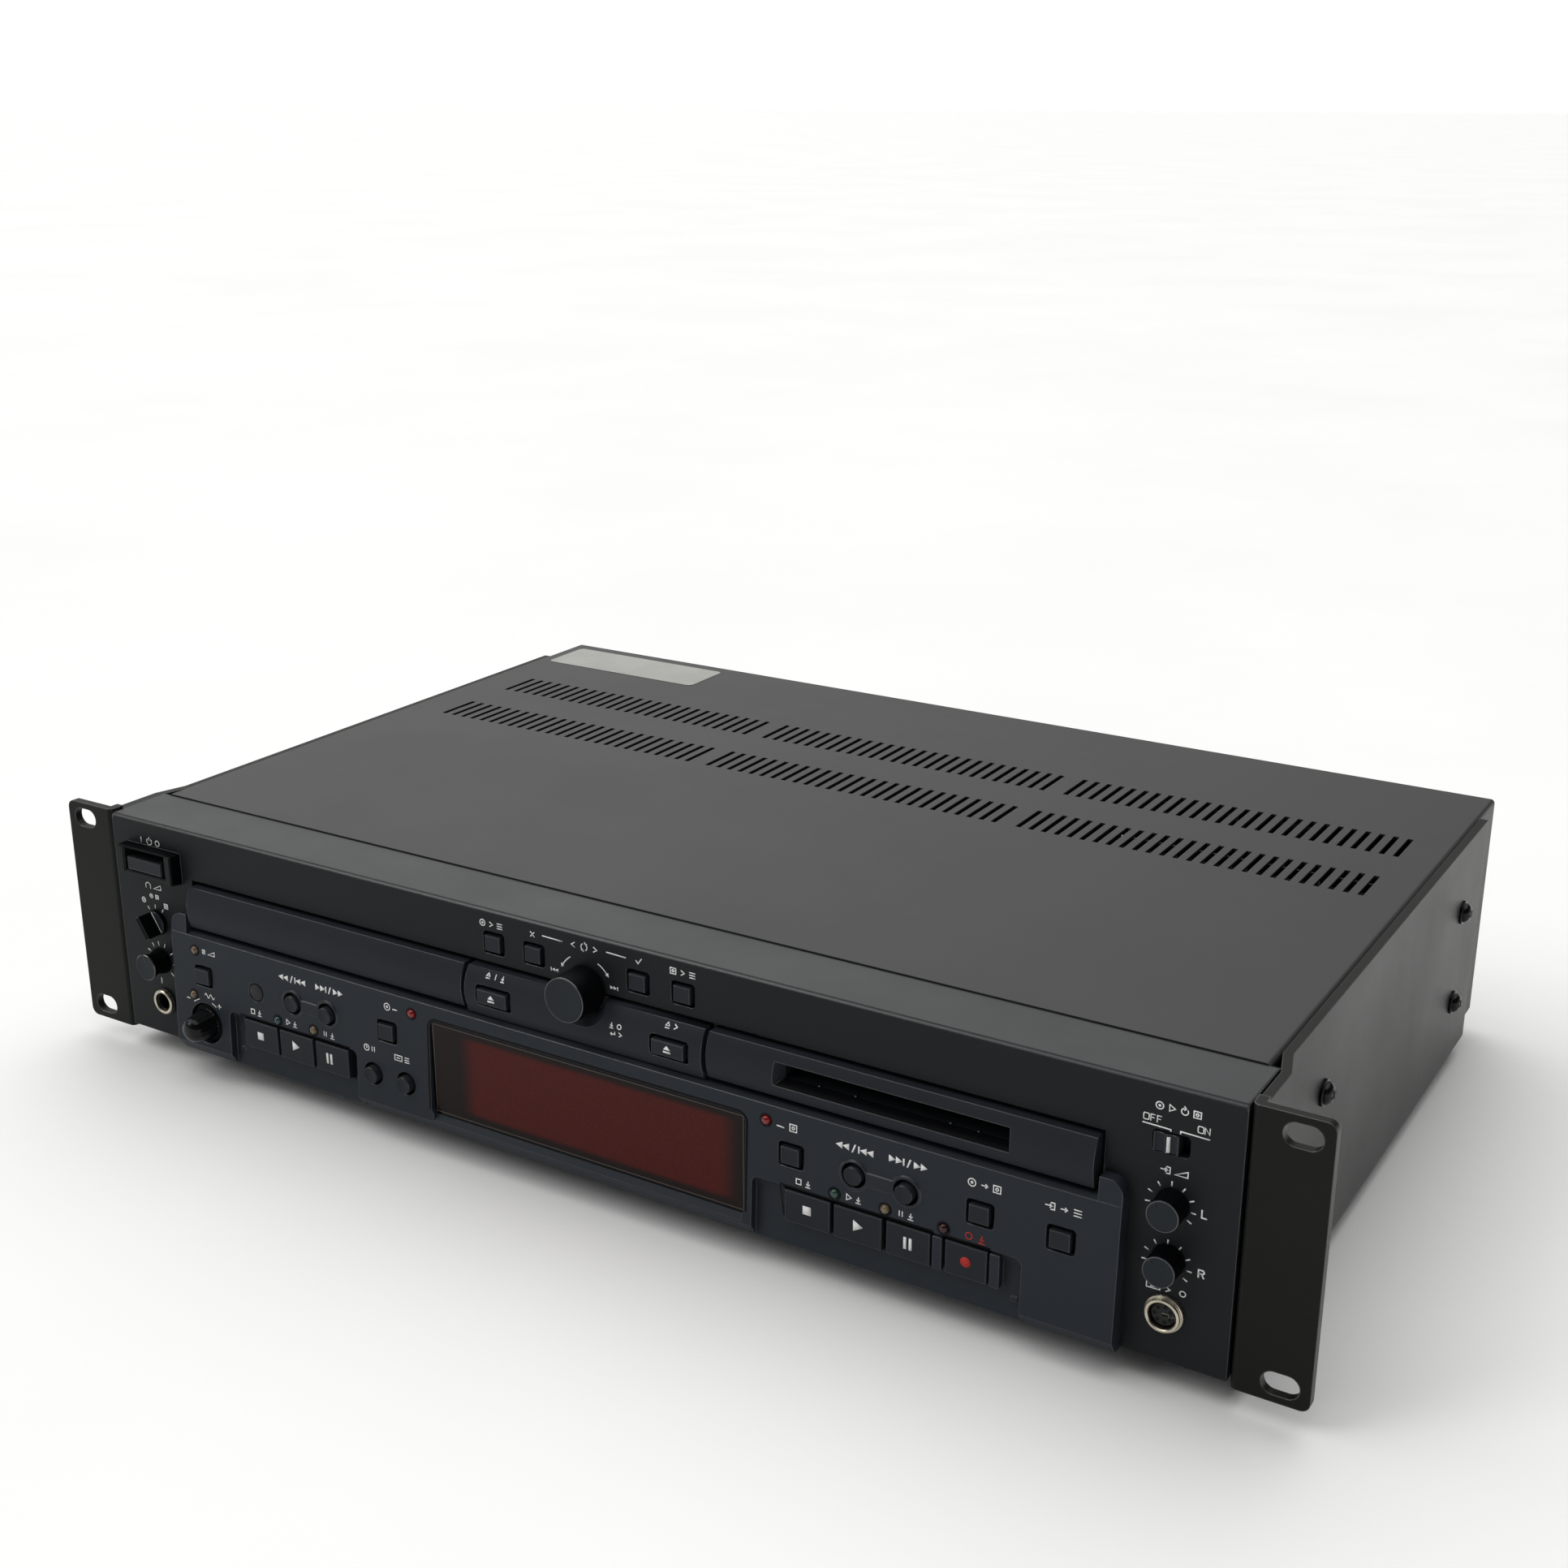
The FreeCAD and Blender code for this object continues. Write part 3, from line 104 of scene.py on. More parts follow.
def makeMaterial(name, tone, dark, look, overlay=None):
    look = {**usualLook, **look}
    rough, spread, soft = look["rough"], look["spread"], look["round"] * mm
    material = bpy.data.materials.new(name)
    material.use_nodes = True
    tree = material.node_tree
    shader = tree.nodes["Principled BSDF"]
    place = addNode(tree, "TexCoord").outputs["Object"]
    drift = addNode(tree, "TexNoise", {
        "Scale": 1 / (look["patch"] * mm), "Detail": 5.0, "Roughness": 0.6, "Vector": place})
    ramp = addNode(tree, "ValToRGB", {"Fac": drift})
    for stop, position, code in zip(ramp.color_ramp.elements, toneStops, (dark, tone)):
        stop.position = position
        stop.color = tint(code)
    colour = ramp.outputs["Color"]
    gloss = addNode(tree, "MapRange", {
        "From Min": 0.3, "From Max": 0.7, "To Min": rough - spread, "To Max": rough + spread, "Value": drift})
    grain = addNode(tree, "TexNoise", {"Scale": 1 / (look["grain"] * mm), "Detail": 3.0, "Vector": place})
    edges = addNode(tree, "Bevel", {"samples": 4, "Radius": soft})
    if "crown" in look:
        # a larger radius along the top, from a height in mm
        start, radius = look["crown"]
        high = addNode(tree, "SeparateXYZ", {"Vector": place}).outputs["Z"]
        above = {"From Min": spot(0, 0, start).z, "From Max": spot(0, 0, start + 0.2).z}
        wider = addNode(tree, "MapRange", {**above, "To Min": soft, "To Max": radius * mm, "Value": high})
        tree.links.new(wider.outputs["Result"], edges.inputs["Radius"])
    bump = addNode(tree, "Bump", {
        "Strength": 1.0, "Distance": look["height"] * mm, "Height": grain, "Normal": edges})
    # 1 on a flat face, less along an edge
    flat = addNode(tree, "NewGeometry").outputs["Normal"]
    turned = addNode(tree, "VectorMath", {"operation": "DOT_PRODUCT", 0: flat, 1: edges}).outputs["Value"]
    if "wear" in look:
        # paint rubbed thin along the edges, broken up by the drift
        broken = addNode(tree, "Math", {"operation": "MULTIPLY_ADD", 0: drift, 1: wornDrift, 2: turned})
        worn = addNode(tree, "MapRange", {"From Min": 1.0, "From Max": 0.93, "Value": broken})
        colour = addNode(tree, "Mix", {"data_type": "RGBA", 0: worn, 6: colour, 7: tint(look["wear"])}).outputs[2]
    if overlay:
        colour = overlay(tree, place, colour)
    rough = gloss
    if "edge" in look:
        # touch polishes the edges, and the ledges of a moulding come smoother from the tool
        polish = addNode(tree, "MapRange", {**edgeTurn, "To Min": 1.0, "To Max": 0.5, "Value": turned})
        rough = addNode(tree, "Math", {**times, 0: rough, 1: polish})
        rim = addNode(tree, "MapRange", {
            **edgeTurn, "To Min": look["shine"], "To Max": look["edge"], "Value": turned})
        axis, ledgeShine = look.get("ledge", ("Z", 0.0))
        facing = addNode(tree, "SeparateXYZ", {"Vector": flat}).outputs[axis]
        along = addNode(tree, "Math", {"operation": "ABSOLUTE", 0: facing})
        ledge = addNode(tree, "MapRange", {"From Min": 0.6, "From Max": 0.95, "To Max": ledgeShine, "Value": along})
        level = addNode(tree, "Math", {**larger, 0: rim, 1: ledge})
        if "crown" in look:
            # the rounded top edge: dull where it rolls off the top, glossiest where it turns down the front
            lean = addNode(tree, "SeparateXYZ", {"Vector": edges}).outputs["Z"]
            rise, steep, shallow, near = [
                addNode(tree, "MapRange", {"From Min": low, "From Max": full, "Value": lean})
                for low, full in crownZones.values()]
            upper = addNode(tree, "MapRange", {**above, "Value": high})
            crest, dull = [
                addNode(tree, "Math", {**times, 0: addNode(tree, "Math", {**times, 0: one, 1: other}), 1: upper})
                for one, other in ((rise, steep), (shallow, near))]
            level = addNode(tree, "Math", {**larger, 0: level, 1: crest})
            kept = addNode(tree, "MapRange", {"To Min": 1.0, "To Max": 0.0, "Value": dull})
            level = addNode(tree, "Math", {**times, 0: level, 1: kept})
            calm = addNode(tree, "MapRange", {"To Min": 1.0, "To Max": 0.5, "Value": crest})
            rough = addNode(tree, "Math", {**times, 0: rough, 1: calm})
        tree.links.new(level.outputs["Value"], shader.inputs["Specular IOR Level"])
    elif "metal" not in look:
        shader.inputs["Specular IOR Level"].default_value = look.get("shine", 0.5)
    for socket, source in {"Base Color": colour, "Normal": bump.outputs[0], "Roughness": rough.outputs[0]}.items():
        tree.links.new(source, shader.inputs[socket])
    shader.inputs["Metallic"].default_value = look.get("metal", 0.0)
    if "coat" in look:
        shader.inputs["Coat Weight"].default_value = look["coat"]
        shader.inputs["Coat Roughness"].default_value = coatRough
    # emission: a painted glow in the material's own tone
    if "glow" in look:
        shader.inputs["Emission Color"].default_value = tint(tone)
        shader.inputs["Emission Strength"].default_value = look["glow"]
    return material


mouldedLook = {"patch": 45, "grain": 0.22, "height": 0.012, "round": 0.45, "shine": 0.12, "edge": 1.0}
inkLook = {"patch": 1.2, "rough": 0.6, "grain": 0.25, "round": 0.05}
lensLook = {"patch": 1.0, "rough": 0.16, "spread": 0.04, "grain": 0.4, "height": 0.002, "round": 0.1, "coat": 0.5,
            "shine": 0.3}
nylonLook = {"patch": 3, "height": 0.004, "round": 0.1}
# tone, dark tone and what differs from the usual look
looks = {
    # satin powder paint on the steel cover, dark grey with a fine orange-peel
    "coverPaint": ("2a2b2a", "262726", {"patch": 90, "rough": 0.42, "grain": 0.5, "height": 0.01, "round": 0.15,
        "shine": 0.27}),
    # the same paint on the brackets, blacker, rubbed at edges by rack rails
    "bracketPaint": ("1a1a19", "171716", {"patch": 60, "rough": 0.42, "grain": 0.45, "height": 0.010, "round": 0.5,
        "wear": "5b5a56", "shine": 0.1, "edge": 1.0, "ledge": ("X", 0.45)}),
    # zinc-plated sheet steel of the mechanism, dulled
    "zincSteel": ("6f716f", "5c5e5b", {"patch": 9, "spread": 0.08, "grain": 0.8, "height": 0.004, "metal": 1.0}),
    # charcoal ABS of the front panel with a fine spark-eroded texture
    "panelPlastic": ("1e2022", "1b1d1f", {**mouldedLook, "round": 0.4, "ledge": ("Z", 0.5), "crown": (41.2, 1.2)}),
    # surround of the mains key, the panel's ABS without its polished edges
    "surroundPlastic": ("1b1d1f", "18191b", {"patch": 10, "grain": 0.22, "height": 0.01, "round": 0.3,
        "shine": 0.12}),
    # the console's ABS is a shade bluer and lighter
    "consolePlastic": ("292e34", "262b31", {**mouldedLook, "ledge": ("Z", 0.3)}),
    # drawer front, centre block and minidisc block, the same ABS from another tool, a touch darker
    "blockPlastic": ("26292e", "23262b", {**mouldedLook, "shine": 0.1, "ledge": ("Z", 0.2)}),
    # caps and keys, ABS a little darker than the console's
    "keyPlastic": ("24282c", "212529", {"patch": 12, "rough": 0.46, "spread": 0.06, "grain": 0.25, "round": 0.35,
        "shine": 0.12, "edge": 1.0}),
    # black ABS inside: drawer, loader, flap
    "innerPlastic": ("0e0f10", "0b0c0d", {"patch": 30, "rough": 0.6, "height": 0.008, "round": 0.3, "shine": 0.15}),
    # knob sides in soft black ABS
    "knobSide": ("08090c", "060709", {"patch": 6, "spread": 0.06, "grain": 0.2, "round": 0.12, "shine": 0.04,
        "edge": 0.5}),
    # knob faces, ABS that catches the light a little more
    "knobFace": ("23282c", "202529", {"rough": 0.45, "grain": 0.2, "round": 0.25, "shine": 0.12, "edge": 1.0}),
    # turned rim round each knob face, the same ABS but smoother
    "knobRim": ("202326", "1c1f22", {"rough": 0.24, "spread": 0.04, "grain": 0.2, "height": 0.002, "round": 0.1,
        "shine": 1.0}),
    # polished black ABS of the pitch knob
    "glossBlack": ("08090b", "060709", {"rough": 0.26, "spread": 0.04, "grain": 0.6, "height": 0.002,
        "shine": 0.16, "coat": 0.12}),
    # feet in black rubber
    "footRubber": ("1b1b1b", "161616", {"patch": 8, "rough": 0.8, "spread": 0.06, "grain": 0.4, "height": 0.02,
        "round": 0.3}),
    # socket bodies in black nylon
    "socketNylon": ("17181a", "131415", {"patch": 10, "height": 0.008, "round": 0.25, "shine": 0.3}),
    # nickel plating on ring nuts and shells, faintly warm
    "nickel": ("cfc8b6", "b8b09c", {"patch": 4, "rough": 0.3, "spread": 0.06, "height": 0.002, "round": 0.15,
        "metal": 1.0}),
    # blackened steel screws
    "blackSteel": ("333334", "242425", {"patch": 2, "rough": 0.28, "spread": 0.08, "height": 0.004, "metal": 1.0}),
    # circuit boards under dark solder resist
    "boardGreen": ("10180f", "0b110b", {"patch": 6, "rough": 0.45, "spread": 0.08, "grain": 0.8, "height": 0.02,
        "round": 0.1, "shine": 0.2}),
    # screen-printed white ink, slightly broken by the texture under it
    "whiteInk": ("ecedec", "dcdedd", inkLook),
    # red ink of the record symbol
    "redInk": ("b8322c", "a82b27", {**inkLook, "shine": 0.2}),
    # matt vinyl of the bare plate on the cover
    "plateVinyl": ("a3a49e", "979892", {"patch": 18, "spread": 0.08, "grain": 0.6, "round": 0.1, "shine": 0.3}),
    # moulded acrylic lamp lenses, not lit; the red one carries a faint painted glow
    "redLens": ("8c1012", "4c090a", {**lensLook, "glow": 0.1}),
    "amberLens": ("766349", "4c3d2d", lensLook),
    "greenLens": ("21443a", "152c24", lensLook),
    "darkRedLens": ("360a0a", "200606", {**lensLook, "coat": 0.25}),
    # acrylic filter over the remote-control eye, almost the panel's own colour
    "eyeFilter": ("25272b", "222428", {"patch": 4, "rough": 0.35, "spread": 0.04, "grain": 0.4, "height": 0.003,
        "shine": 0.15}),
    # nylon insulators inside the phono sockets
    "whiteNylon": ("dcdcd8", "cfcfca", nylonLook),
    "redNylon": ("a8281f", "96221a", nylonLook),
    # pale card under the deck
    "floorCard": ("f4f4f3", "f1f1f0", {"patch": 400, "rough": 0.6, "grain": 2.0, "height": 0.01, "round": 0.1,
        "shine": 0.2}),
}
materials = {name: makeMaterial(name, *look) for name, look in looks.items()}

# smoked window: a black rim of painted shadow, a thin painted highlight of its bevel, brown border and the dull red
# field of the unlit display
display = {"field": (4.6, -17.8), "half": (56.5, 15.2), "soft": 0.84, "rim": (62.3, 16.55), "shadowRimSoft": 0.998,
           "step": 0.3, "cell": (0.62, 0.78), "gap": 0.09}


def displayOverlay(tree, place, colour):
    x, _, z = middle("display_window")
    pane, field = spot(x, 0, z), spot(display["field"][0], 0, display["field"][1])
    # faint grid of unlit dots over the red
    wide, tall = display["cell"]
    cells = addNode(tree, "TexBrick", {
        "Scale": 1.0, "Brick Width": wide * mm, "Row Height": tall * mm, "Mortar Size": display["gap"] * mm,
        "offset": 0.0, "Color1": tint("571812"), "Color2": tint("4d1510"), "Mortar": tint("38110e")})
    flat = addNode(tree, "Mapping", {"Rotation": (math.radians(-90), 0, 0), "Vector": place})
    tree.links.new(flat.outputs["Vector"], cells.inputs["Vector"])
    rim, inner = display["rim"], [side - display["step"] for side in display["rim"]]
    # painted shadow: near black at the pane's outer edge, for the dark gap round the window
    seen = tint("050506")
    # each zone lies inside the one before: middle, half size, where its soft edge starts, what it shows; the first is
    # a thin light band of painted highlight for the pane's polished bevel, just inside the painted shadow
    for origin, half, soft, inside in (
            (pane, rim, display["shadowRimSoft"], tint("544c47")), (pane, inner, display["shadowRimSoft"], colour),
            (field, display["half"], display["soft"], cells.outputs["Color"])):
        off = addNode(tree, "VectorMath", {"operation": "SUBTRACT", 0: place, 1: origin})
        scaled = addNode(tree, "VectorMath", {"operation": "DIVIDE", 0: off, 1: (half[0] * mm, 1.0, half[1] * mm)})
        sides = addNode(tree, "VectorMath", {"operation": "ABSOLUTE", 0: scaled})
        split = addNode(tree, "SeparateXYZ", {"Vector": sides})
        across, up = [
            addNode(tree, "MapRange", {**eased, "From Min": soft, "To Min": 1.0, "To Max": 0.0, "Value": out})
            for out in (split.outputs["X"], split.outputs["Z"])]
        mask = addNode(tree, "Math", {**times, 0: across, 1: up})
        seen = addNode(tree, "Mix", {"data_type": "RGBA", 0: mask, 6: seen, 7: inside}).outputs[2]
    return seen


# tinted acrylic of the window
materials["windowTint"] = makeMaterial("windowTint", "1b110f", "170f0d", {
    "patch": 30, "rough": 0.25, "spread": 0.03, "grain": 1.5, "height": 0.002, "shine": 0.12}, displayOverlay)
print("materials made")

# materials of the CAD nodes that stay, apart from the keys
nodeSkins = {
    "coverPaint": "top_cover rear_panel",
    "bracketPaint": "rack_ear_left rack_ear_right",
    "zincSteel": "bottom_chassis md_mechanism dial_shaft",
    "panelPlastic": "front_panel",
    "consolePlastic": "control_console",
    "blockPlastic": "md_slot_bezel tray_front",
    "innerPlastic": "cd_tray cd_loader_frame disc_turntable md_shutter",
    "boardGreen": "front_board main_board power_supply",
    "windowTint": "display_window",
    "socketNylon": "optical_ports ac_inlet",
}
skinOf = {node: skin for skin, names in nodeSkins.items() for node in names.split()}
for name, node in nodes.items():
    node.data.materials.clear()
    node.data.materials.append(materials[skinOf.get(name, "keyPlastic")])
print("CAD nodes dressed")


# mesh helpers
# faces that meet at more than this many degrees keep a hard edge
sharpAngle = 35


def addObject(name, data):
    made = bpy.data.objects.new(name, data)
    scene.collection.objects.link(made)
    return made


def addPiece(name, build, skins, replaced=(), body=None):
    # build fills a bmesh; skins name the materials that its faces number; it rides with what it replaces
    body = body or (bodyOf[replaced[0]] if replaced else "deck")
    bm = bmesh.new()
    build(bm)
    bmesh.ops.remove_doubles(bm, verts=bm.verts, dist=1e-6)
    bmesh.ops.recalc_face_normals(bm, faces=bm.faces)
    mesh = bpy.data.meshes.new(name)
    bm.to_mesh(mesh)
    bm.free()
    for polygon in mesh.polygons:
        polygon.use_smooth = True
    mesh.set_sharp_from_angle(angle=math.radians(sharpAngle))
    piece = addObject(name, mesh)
    for skin in skins:
        mesh.materials.append(materials[skin])
    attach(piece, body)
    if replaced:
        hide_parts(*replaced)
    return piece


# across, up and along for a turned shape on each axis
axesOf = {"x": (Vector((0, 0, 1)), Vector((0, 1, 0)), Vector((1, 0, 0))),
          "y": (Vector((1, 0, 0)), Vector((0, 0, 1)), Vector((0, 1, 0))),
          "z": (Vector((1, 0, 0)), Vector((0, 1, 0)), Vector((0, 0, 1)))}


def turn(bm, profile, centre, axis="y", count=64, flute=None):
    # profile holds (radius, place along the axis, skin); flute scales the radius round the axis
    across, up, along = axesOf[axis]
    base = Vector(centre)
    rings = []
    for radius, reach, *_ in profile:
        if radius == 0:
            rings.append([bm.verts.new(spot(*(base + along * reach)))])
            continue
        ring = []
        for i in range(count):
            angle = 2 * math.pi * i / count
            wide = radius * (flute(angle, reach) if flute else 1.0)
            outward = across * wide * math.sin(angle)
            ring.append(bm.verts.new(spot(*(base + along * reach + outward + up * wide * math.cos(angle)))))
        rings.append(ring)
    for near, far, (_, _, *skin) in zip(rings, rings[1:], profile[1:]):
        for i in range(count):
            j = (i + 1) % count
            corners = [near[i % len(near)], near[j % len(near)], far[j % len(far)], far[i % len(far)]]
            face = bm.faces.new(list(dict.fromkeys(corners)))
            face.material_index = skin[0] if skin else 0


def block(bm, low, high, soften=0.0, skin=0, spin=0.0, about=(0, 0)):
    # softened block between two corners, turned by spin degrees about a line along y
    corners = bmesh.ops.create_cube(bm, size=1.0)["verts"]
    size = Vector(high) - Vector(low)
    centre = (Vector(high) + Vector(low)) / 2
    angle = math.radians(spin)
    for corner in corners:
        p = Vector([corner.co[i] * size[i] + centre[i] for i in range(3)])
        dx, dz = p.x - about[0], p.z - about[1]
        p.x = about[0] + dx * math.cos(angle) + dz * math.sin(angle)
        p.z = about[1] - dx * math.sin(angle) + dz * math.cos(angle)
        corner.co = spot(*p)
    for face in {face for corner in corners for face in corner.link_faces}:
        face.material_index = skin
    if soften:
        edges = {edge for corner in corners for edge in corner.link_edges}
        bmesh.ops.bevel(bm, geom=list(edges), offset=soften * mm, segments=3, affect="EDGES")


inkLift, inkThick = 0.05, 0.03


def onFace(node):
    # carries a point (x, z) straight back onto the front of a CAD node
    def lay(x, z):
        found, place, _, _ = nodes[node].ray_cast(spot(x, -40, z), Vector((0, 1, 0)))
        if not found:
            raise ValueError("nothing of " + node + " behind " + str((x, z)))
        return place - Vector((0, inkLift * mm, 0))
    return lay


def ribbon(bm, points, width, lay):
    # flat line of even width through the points, closed where the last is the first again
    closed = points[0] == points[-1]
    path = [Vector(p) for p in (points[:-1] if closed else points)]
    count = len(path)
    left, right = [], []
    for i, p in enumerate(path):
        before = path[i - 1] if i or closed else None
        after = path[(i + 1) % count] if i < count - 1 or closed else None
        into = (p - before).normalized() if before is not None else (after - p).normalized()
        out = (after - p).normalized() if after is not None else into
        way = (into + out).normalized()
        side = Vector((-way.y, way.x))
        reach = width / 2 / max(0.6, side.dot(Vector((-into.y, into.x))))
        left.append(bm.verts.new(lay(*(p + side * reach))))
        right.append(bm.verts.new(lay(*(p - side * reach))))
    for i in range(count if closed else count - 1):
        j = (i + 1) % count
        bm.faces.new((left[i], left[j], right[j], right[i]))


def bow(x, z, radius, start, end, steps=12):
    # points on an arc, its angles in degrees clockwise from straight up
    angles = [math.radians(start + (end - start) * i / steps) for i in range(steps + 1)]
    return [(x + radius * math.sin(a), z + radius * math.cos(a)) for a in angles]


markLine, thinLine, knobLine = 0.42, 0.4, 0.5


def dialTicks(x, z, near, far, angles, width=markLine):
    return [([bow(x, z, r, angle, angle, 1)[0] for r in (near, far)], width) for angle in angles]


def loop(points):
    return points + points[:1]


def shifted(points, x, z, scale=1.0):
    return [(x + px * scale, z + pz * scale) for px, pz in points]


def printed(name, node, lines=(), shapes=(), skin="whiteInk", flat=None):
    # ink on the front of a node, or on a flat face at its y: lines are (points, width), shapes are outlines
    lay = onFace(node) if flat is None else lambda x, z: spot(x, flat, z)

    def build(bm):
        for points, width in lines:
            ribbon(bm, points, width, lay)
        for points in shapes:
            bm.faces.new([bm.verts.new(lay(x, z)) for x, z in points])
    thick = addPiece(name, build, [skin], body=bodyOf[node]).modifiers.new("ink", "SOLIDIFY")
    thick.thickness = inkThick * mm
    thick.offset = 0


# knobs
knobSkins = ["knobFace", "knobSide", "knobRim"]


def fluted(knob):
    # hollows round a knob, between two places along its axis
    first, last = knob["fluted"]

    def scale(angle, reach):
        if first < reach < last:
            return 1.0 - knob["depth"] * (0.5 - 0.5 * math.cos(knob["flutes"] * angle)) ** knob["power"]
        return 1.0
    return scale


jog = {"r": 7.65, "rim": 0.35, "rear": -1.0, "wall": 1.5, "floor": -6.0}


def buildJog(bm):
    x, y, z = middle("jog_dial")
    r, rim, rear, wall, floor = jog.values()
    turn(bm, [(0, y + 0.12), (r - 1.2, y + 0.06), (r - rim, y), (r - 0.1, y + 0.1, 2), (r, y + rim, 2),
              (r, rear, 1), (r - wall, rear, 1), (r - wall, floor, 1), (0, floor, 1)], (x, 0, z), count=96)


addPiece("jogShell", buildJog, knobSkins, ["jog_dial"])

# every small knob ends alike: its skirt's rear, then the shaft as steps of the profile
skirtRear = -0.4
shaft = [(3.0, skirtRear, 1), (3.0, 2.0, 1), (0, 2.0, 1)]
markGap = 0.02

inputKnob = {"r": 4.8, "front": -8.0, "flutes": 40, "depth": 0.025, "fluted": (-7.3, -1.0), "power": 1,
             "line": (2.6, 4.5), "mark": [-40]}


def buildInputKnob(x, z):
    def build(bm):
        r, y = inputKnob["r"], inputKnob["front"]
        turn(bm, [(0, y + 0.1), (r - 0.9, y + 0.05), (r - 0.35, y), (r - 0.08, y + 0.12, 2), (r, y + 0.4, 2),
                  (r, -7.25, 1), (r, -7.2, 1), (r, -1.2, 1), (r + 0.1, -0.9, 1), (r + 0.15, skirtRear, 1)] + shaft,
             (x, 0, z), count=240, flute=fluted(inputKnob))
    return build


for side in ("Left", "Right"):
    node = "input_" + side.lower() + "_knob"
    x, _, z = middle(node)
    addPiece("inputKnob" + side, buildInputKnob(x, z), knobSkins, [node])
    printed("inputMark" + side, node, dialTicks(x, z, *inputKnob["line"], inputKnob["mark"], knobLine),
            skin="knobSide", flat=inputKnob["front"] - markGap)

levelKnob = {"front": -8.0, "face": 5.1, "waist": 4.15, "line": (2.4, 4.6)}
levelX, _, levelZ = middle("phones_level_knob")


def buildLevelKnob(bm):
    y, r, w, _ = levelKnob.values()
    turn(bm, [(0, y + 0.1), (r - 1.0, y + 0.05), (r - 0.3, y), (r, y + 0.25, 2), (r - 0.05, y + 0.7, 1),
              (r - 0.55, -6.0, 1), (w, -4.6, 1), (w + 0.05, -3.4, 1), (w + 0.35, -2.2, 1), (r - 0.2, -1.0, 1),
              (r - 0.1, skirtRear, 1)] + shaft, (levelX, 0, levelZ))


addPiece("levelKnob", buildLevelKnob, knobSkins, ["phones_level_knob"])
printed("levelMark", "phones_level_knob", dialTicks(levelX, levelZ, *levelKnob["line"], [0], knobLine),
        skin="knobSide", flat=levelKnob["front"] - markGap)

selectorKnob = {"skirt": 4.9, "front": -2.0, "bar": (-0.4, 1.4, 4.6), "reach": -8.0, "spin": -32.0,
                "line": (1.7, 4.2), "gap": 0.03}
selectorX, _, selectorZ = middle("phones_selector_knob")


def buildSelector(bm):
    x, z, r, y = selectorX, selectorZ, selectorKnob["skirt"], selectorKnob["front"]
    turn(bm, [(0, y), (r - 0.4, y), (r - 0.1, y + 0.1), (r, y + 0.4), (r, skirtRear, 1)] + shaft, (x, 0, z))
    left, right, tall = selectorKnob["bar"]
    block(bm, (x + left, selectorKnob["reach"], z - tall), (x + right, y + 0.3, z + tall),
          0.2, 1, selectorKnob["spin"], (x, z))


addPiece("selectorKnob", buildSelector, ["knobFace", "knobSide"], ["phones_selector_knob"])
# its line stands beside the bar, across and up from the middle, and turns with it
lineSpin = math.radians(selectorKnob["spin"])
aside, rise = selectorKnob["line"]
selectorLine = [(selectorX + aside * math.cos(lineSpin) + up * math.sin(lineSpin),
                 selectorZ - aside * math.sin(lineSpin) + up * math.cos(lineSpin)) for up in (-rise, rise)]
printed("selectorMark", "phones_selector_knob", [(selectorLine, knobLine)],
        flat=selectorKnob["front"] - selectorKnob["gap"])

pitchKnob = {"flutes": 16, "depth": 0.03, "fluted": (-13.4, -5.7), "power": 2}


def buildPitch(bm):
    x, _, z = middle("pitch_knob")
    turn(bm, [(0, -15.8), (1.5, -15.7), (2.7, -15.3), (3.6, -14.7), (4.3, -13.9), (4.6, -13.2), (4.75, -12.6),
              (5.5, -6.4), (5.75, -5.8), (6.1, -5.5, 1), (7.1, -5.4, 1), (7.35, -5.2, 1), (7.4, -4.8, 1),
              (7.4, -2.7, 1), (3.0, -2.7, 1), (3.0, 4.6, 1), (0, 4.6, 1)], (x, 0, z), count=144,
         flute=fluted(pitchKnob))


addPiece("pitchKnob", buildPitch, ["glossBlack", "knobSide"], ["pitch_knob"])

# round buttons: a dished face inside a softened rim, on a square flange and a stud behind the console
roundCap = {"r": 3.05, "flange": 4.8, "rear": 0.4, "stud": 1.0}


def buildRoundCap(x, y, z):
    def build(bm):
        r, reach, rear, stud = roundCap.values()
        turn(bm, [(0, y + 0.22), (r - 1.0, y + 0.16), (r - 0.6, y + 0.03), (r - 0.35, y), (r - 0.12, y + 0.08),
                  (r, y + 0.3), (r, rear), (0, rear)], (x, 0, z), count=48)
        block(bm, (x - reach, rear, z - reach), (x + reach, rear + 1.0, z + reach), 0.1)
        block(bm, (x - stud, rear + 1.0, z - stud), (x + stud, rear + 1.7, z + stud), 0.1)
    return build


for node in ("cd_previous_button", "cd_next_button", "time_button", "display_button", "md_previous_button",
             "md_next_button"):
    addPiece(node.replace("_", "") + "Cap", buildRoundCap(*middle(node)), ["keyPlastic"], [node])
print("knobs made")


# remote-control eye: a filter disc with a fine groove round it
def buildEye(bm):
    x, y, z = middle("remote_window")
    low, high = ((corner - rackCentre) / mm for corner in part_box("remote_window"))
    r, rear = (high.x - low.x) / 2, high.y
    turn(bm, [(0, y - 0.02), (r - 0.6, y), (r - 0.45, y + 0.05), (r - 0.4, y + 0.3, 1), (r - 0.05, y + 0.3, 1),
              (r, y + 0.25, 1), (r, rear, 1), (0, rear, 1)], (x, 0, z), count=48)


addPiece("remoteEye", buildEye, ["eyeFilter", "innerPlastic"], ["remote_window"])

# lamps: domed lenses on the key board, each with its place and the number of its skin; rim is the radius of the
# painted shade ring round each
lamp = {"r": 1.5, "dome": 0.8, "seat": 0.1, "board": 5.2, "rim": 2.05}
lamps = [(-174.4, -0.3, 1), (-176.3, -18.1, 1), (-71.0, -0.1, 0), (70.6, -0.3, 0), (-134.2, -18.1, 2),
         (-116.9, -17.6, 1), (95.3, -17.8, 2), (112.6, -17.8, 1), (132.1, -18.0, 3)]
# upper and lower end of the console's slope: height and place along y
slopeTop, slopeLow = (5.0, -5.0), (-42.4, -6.8)


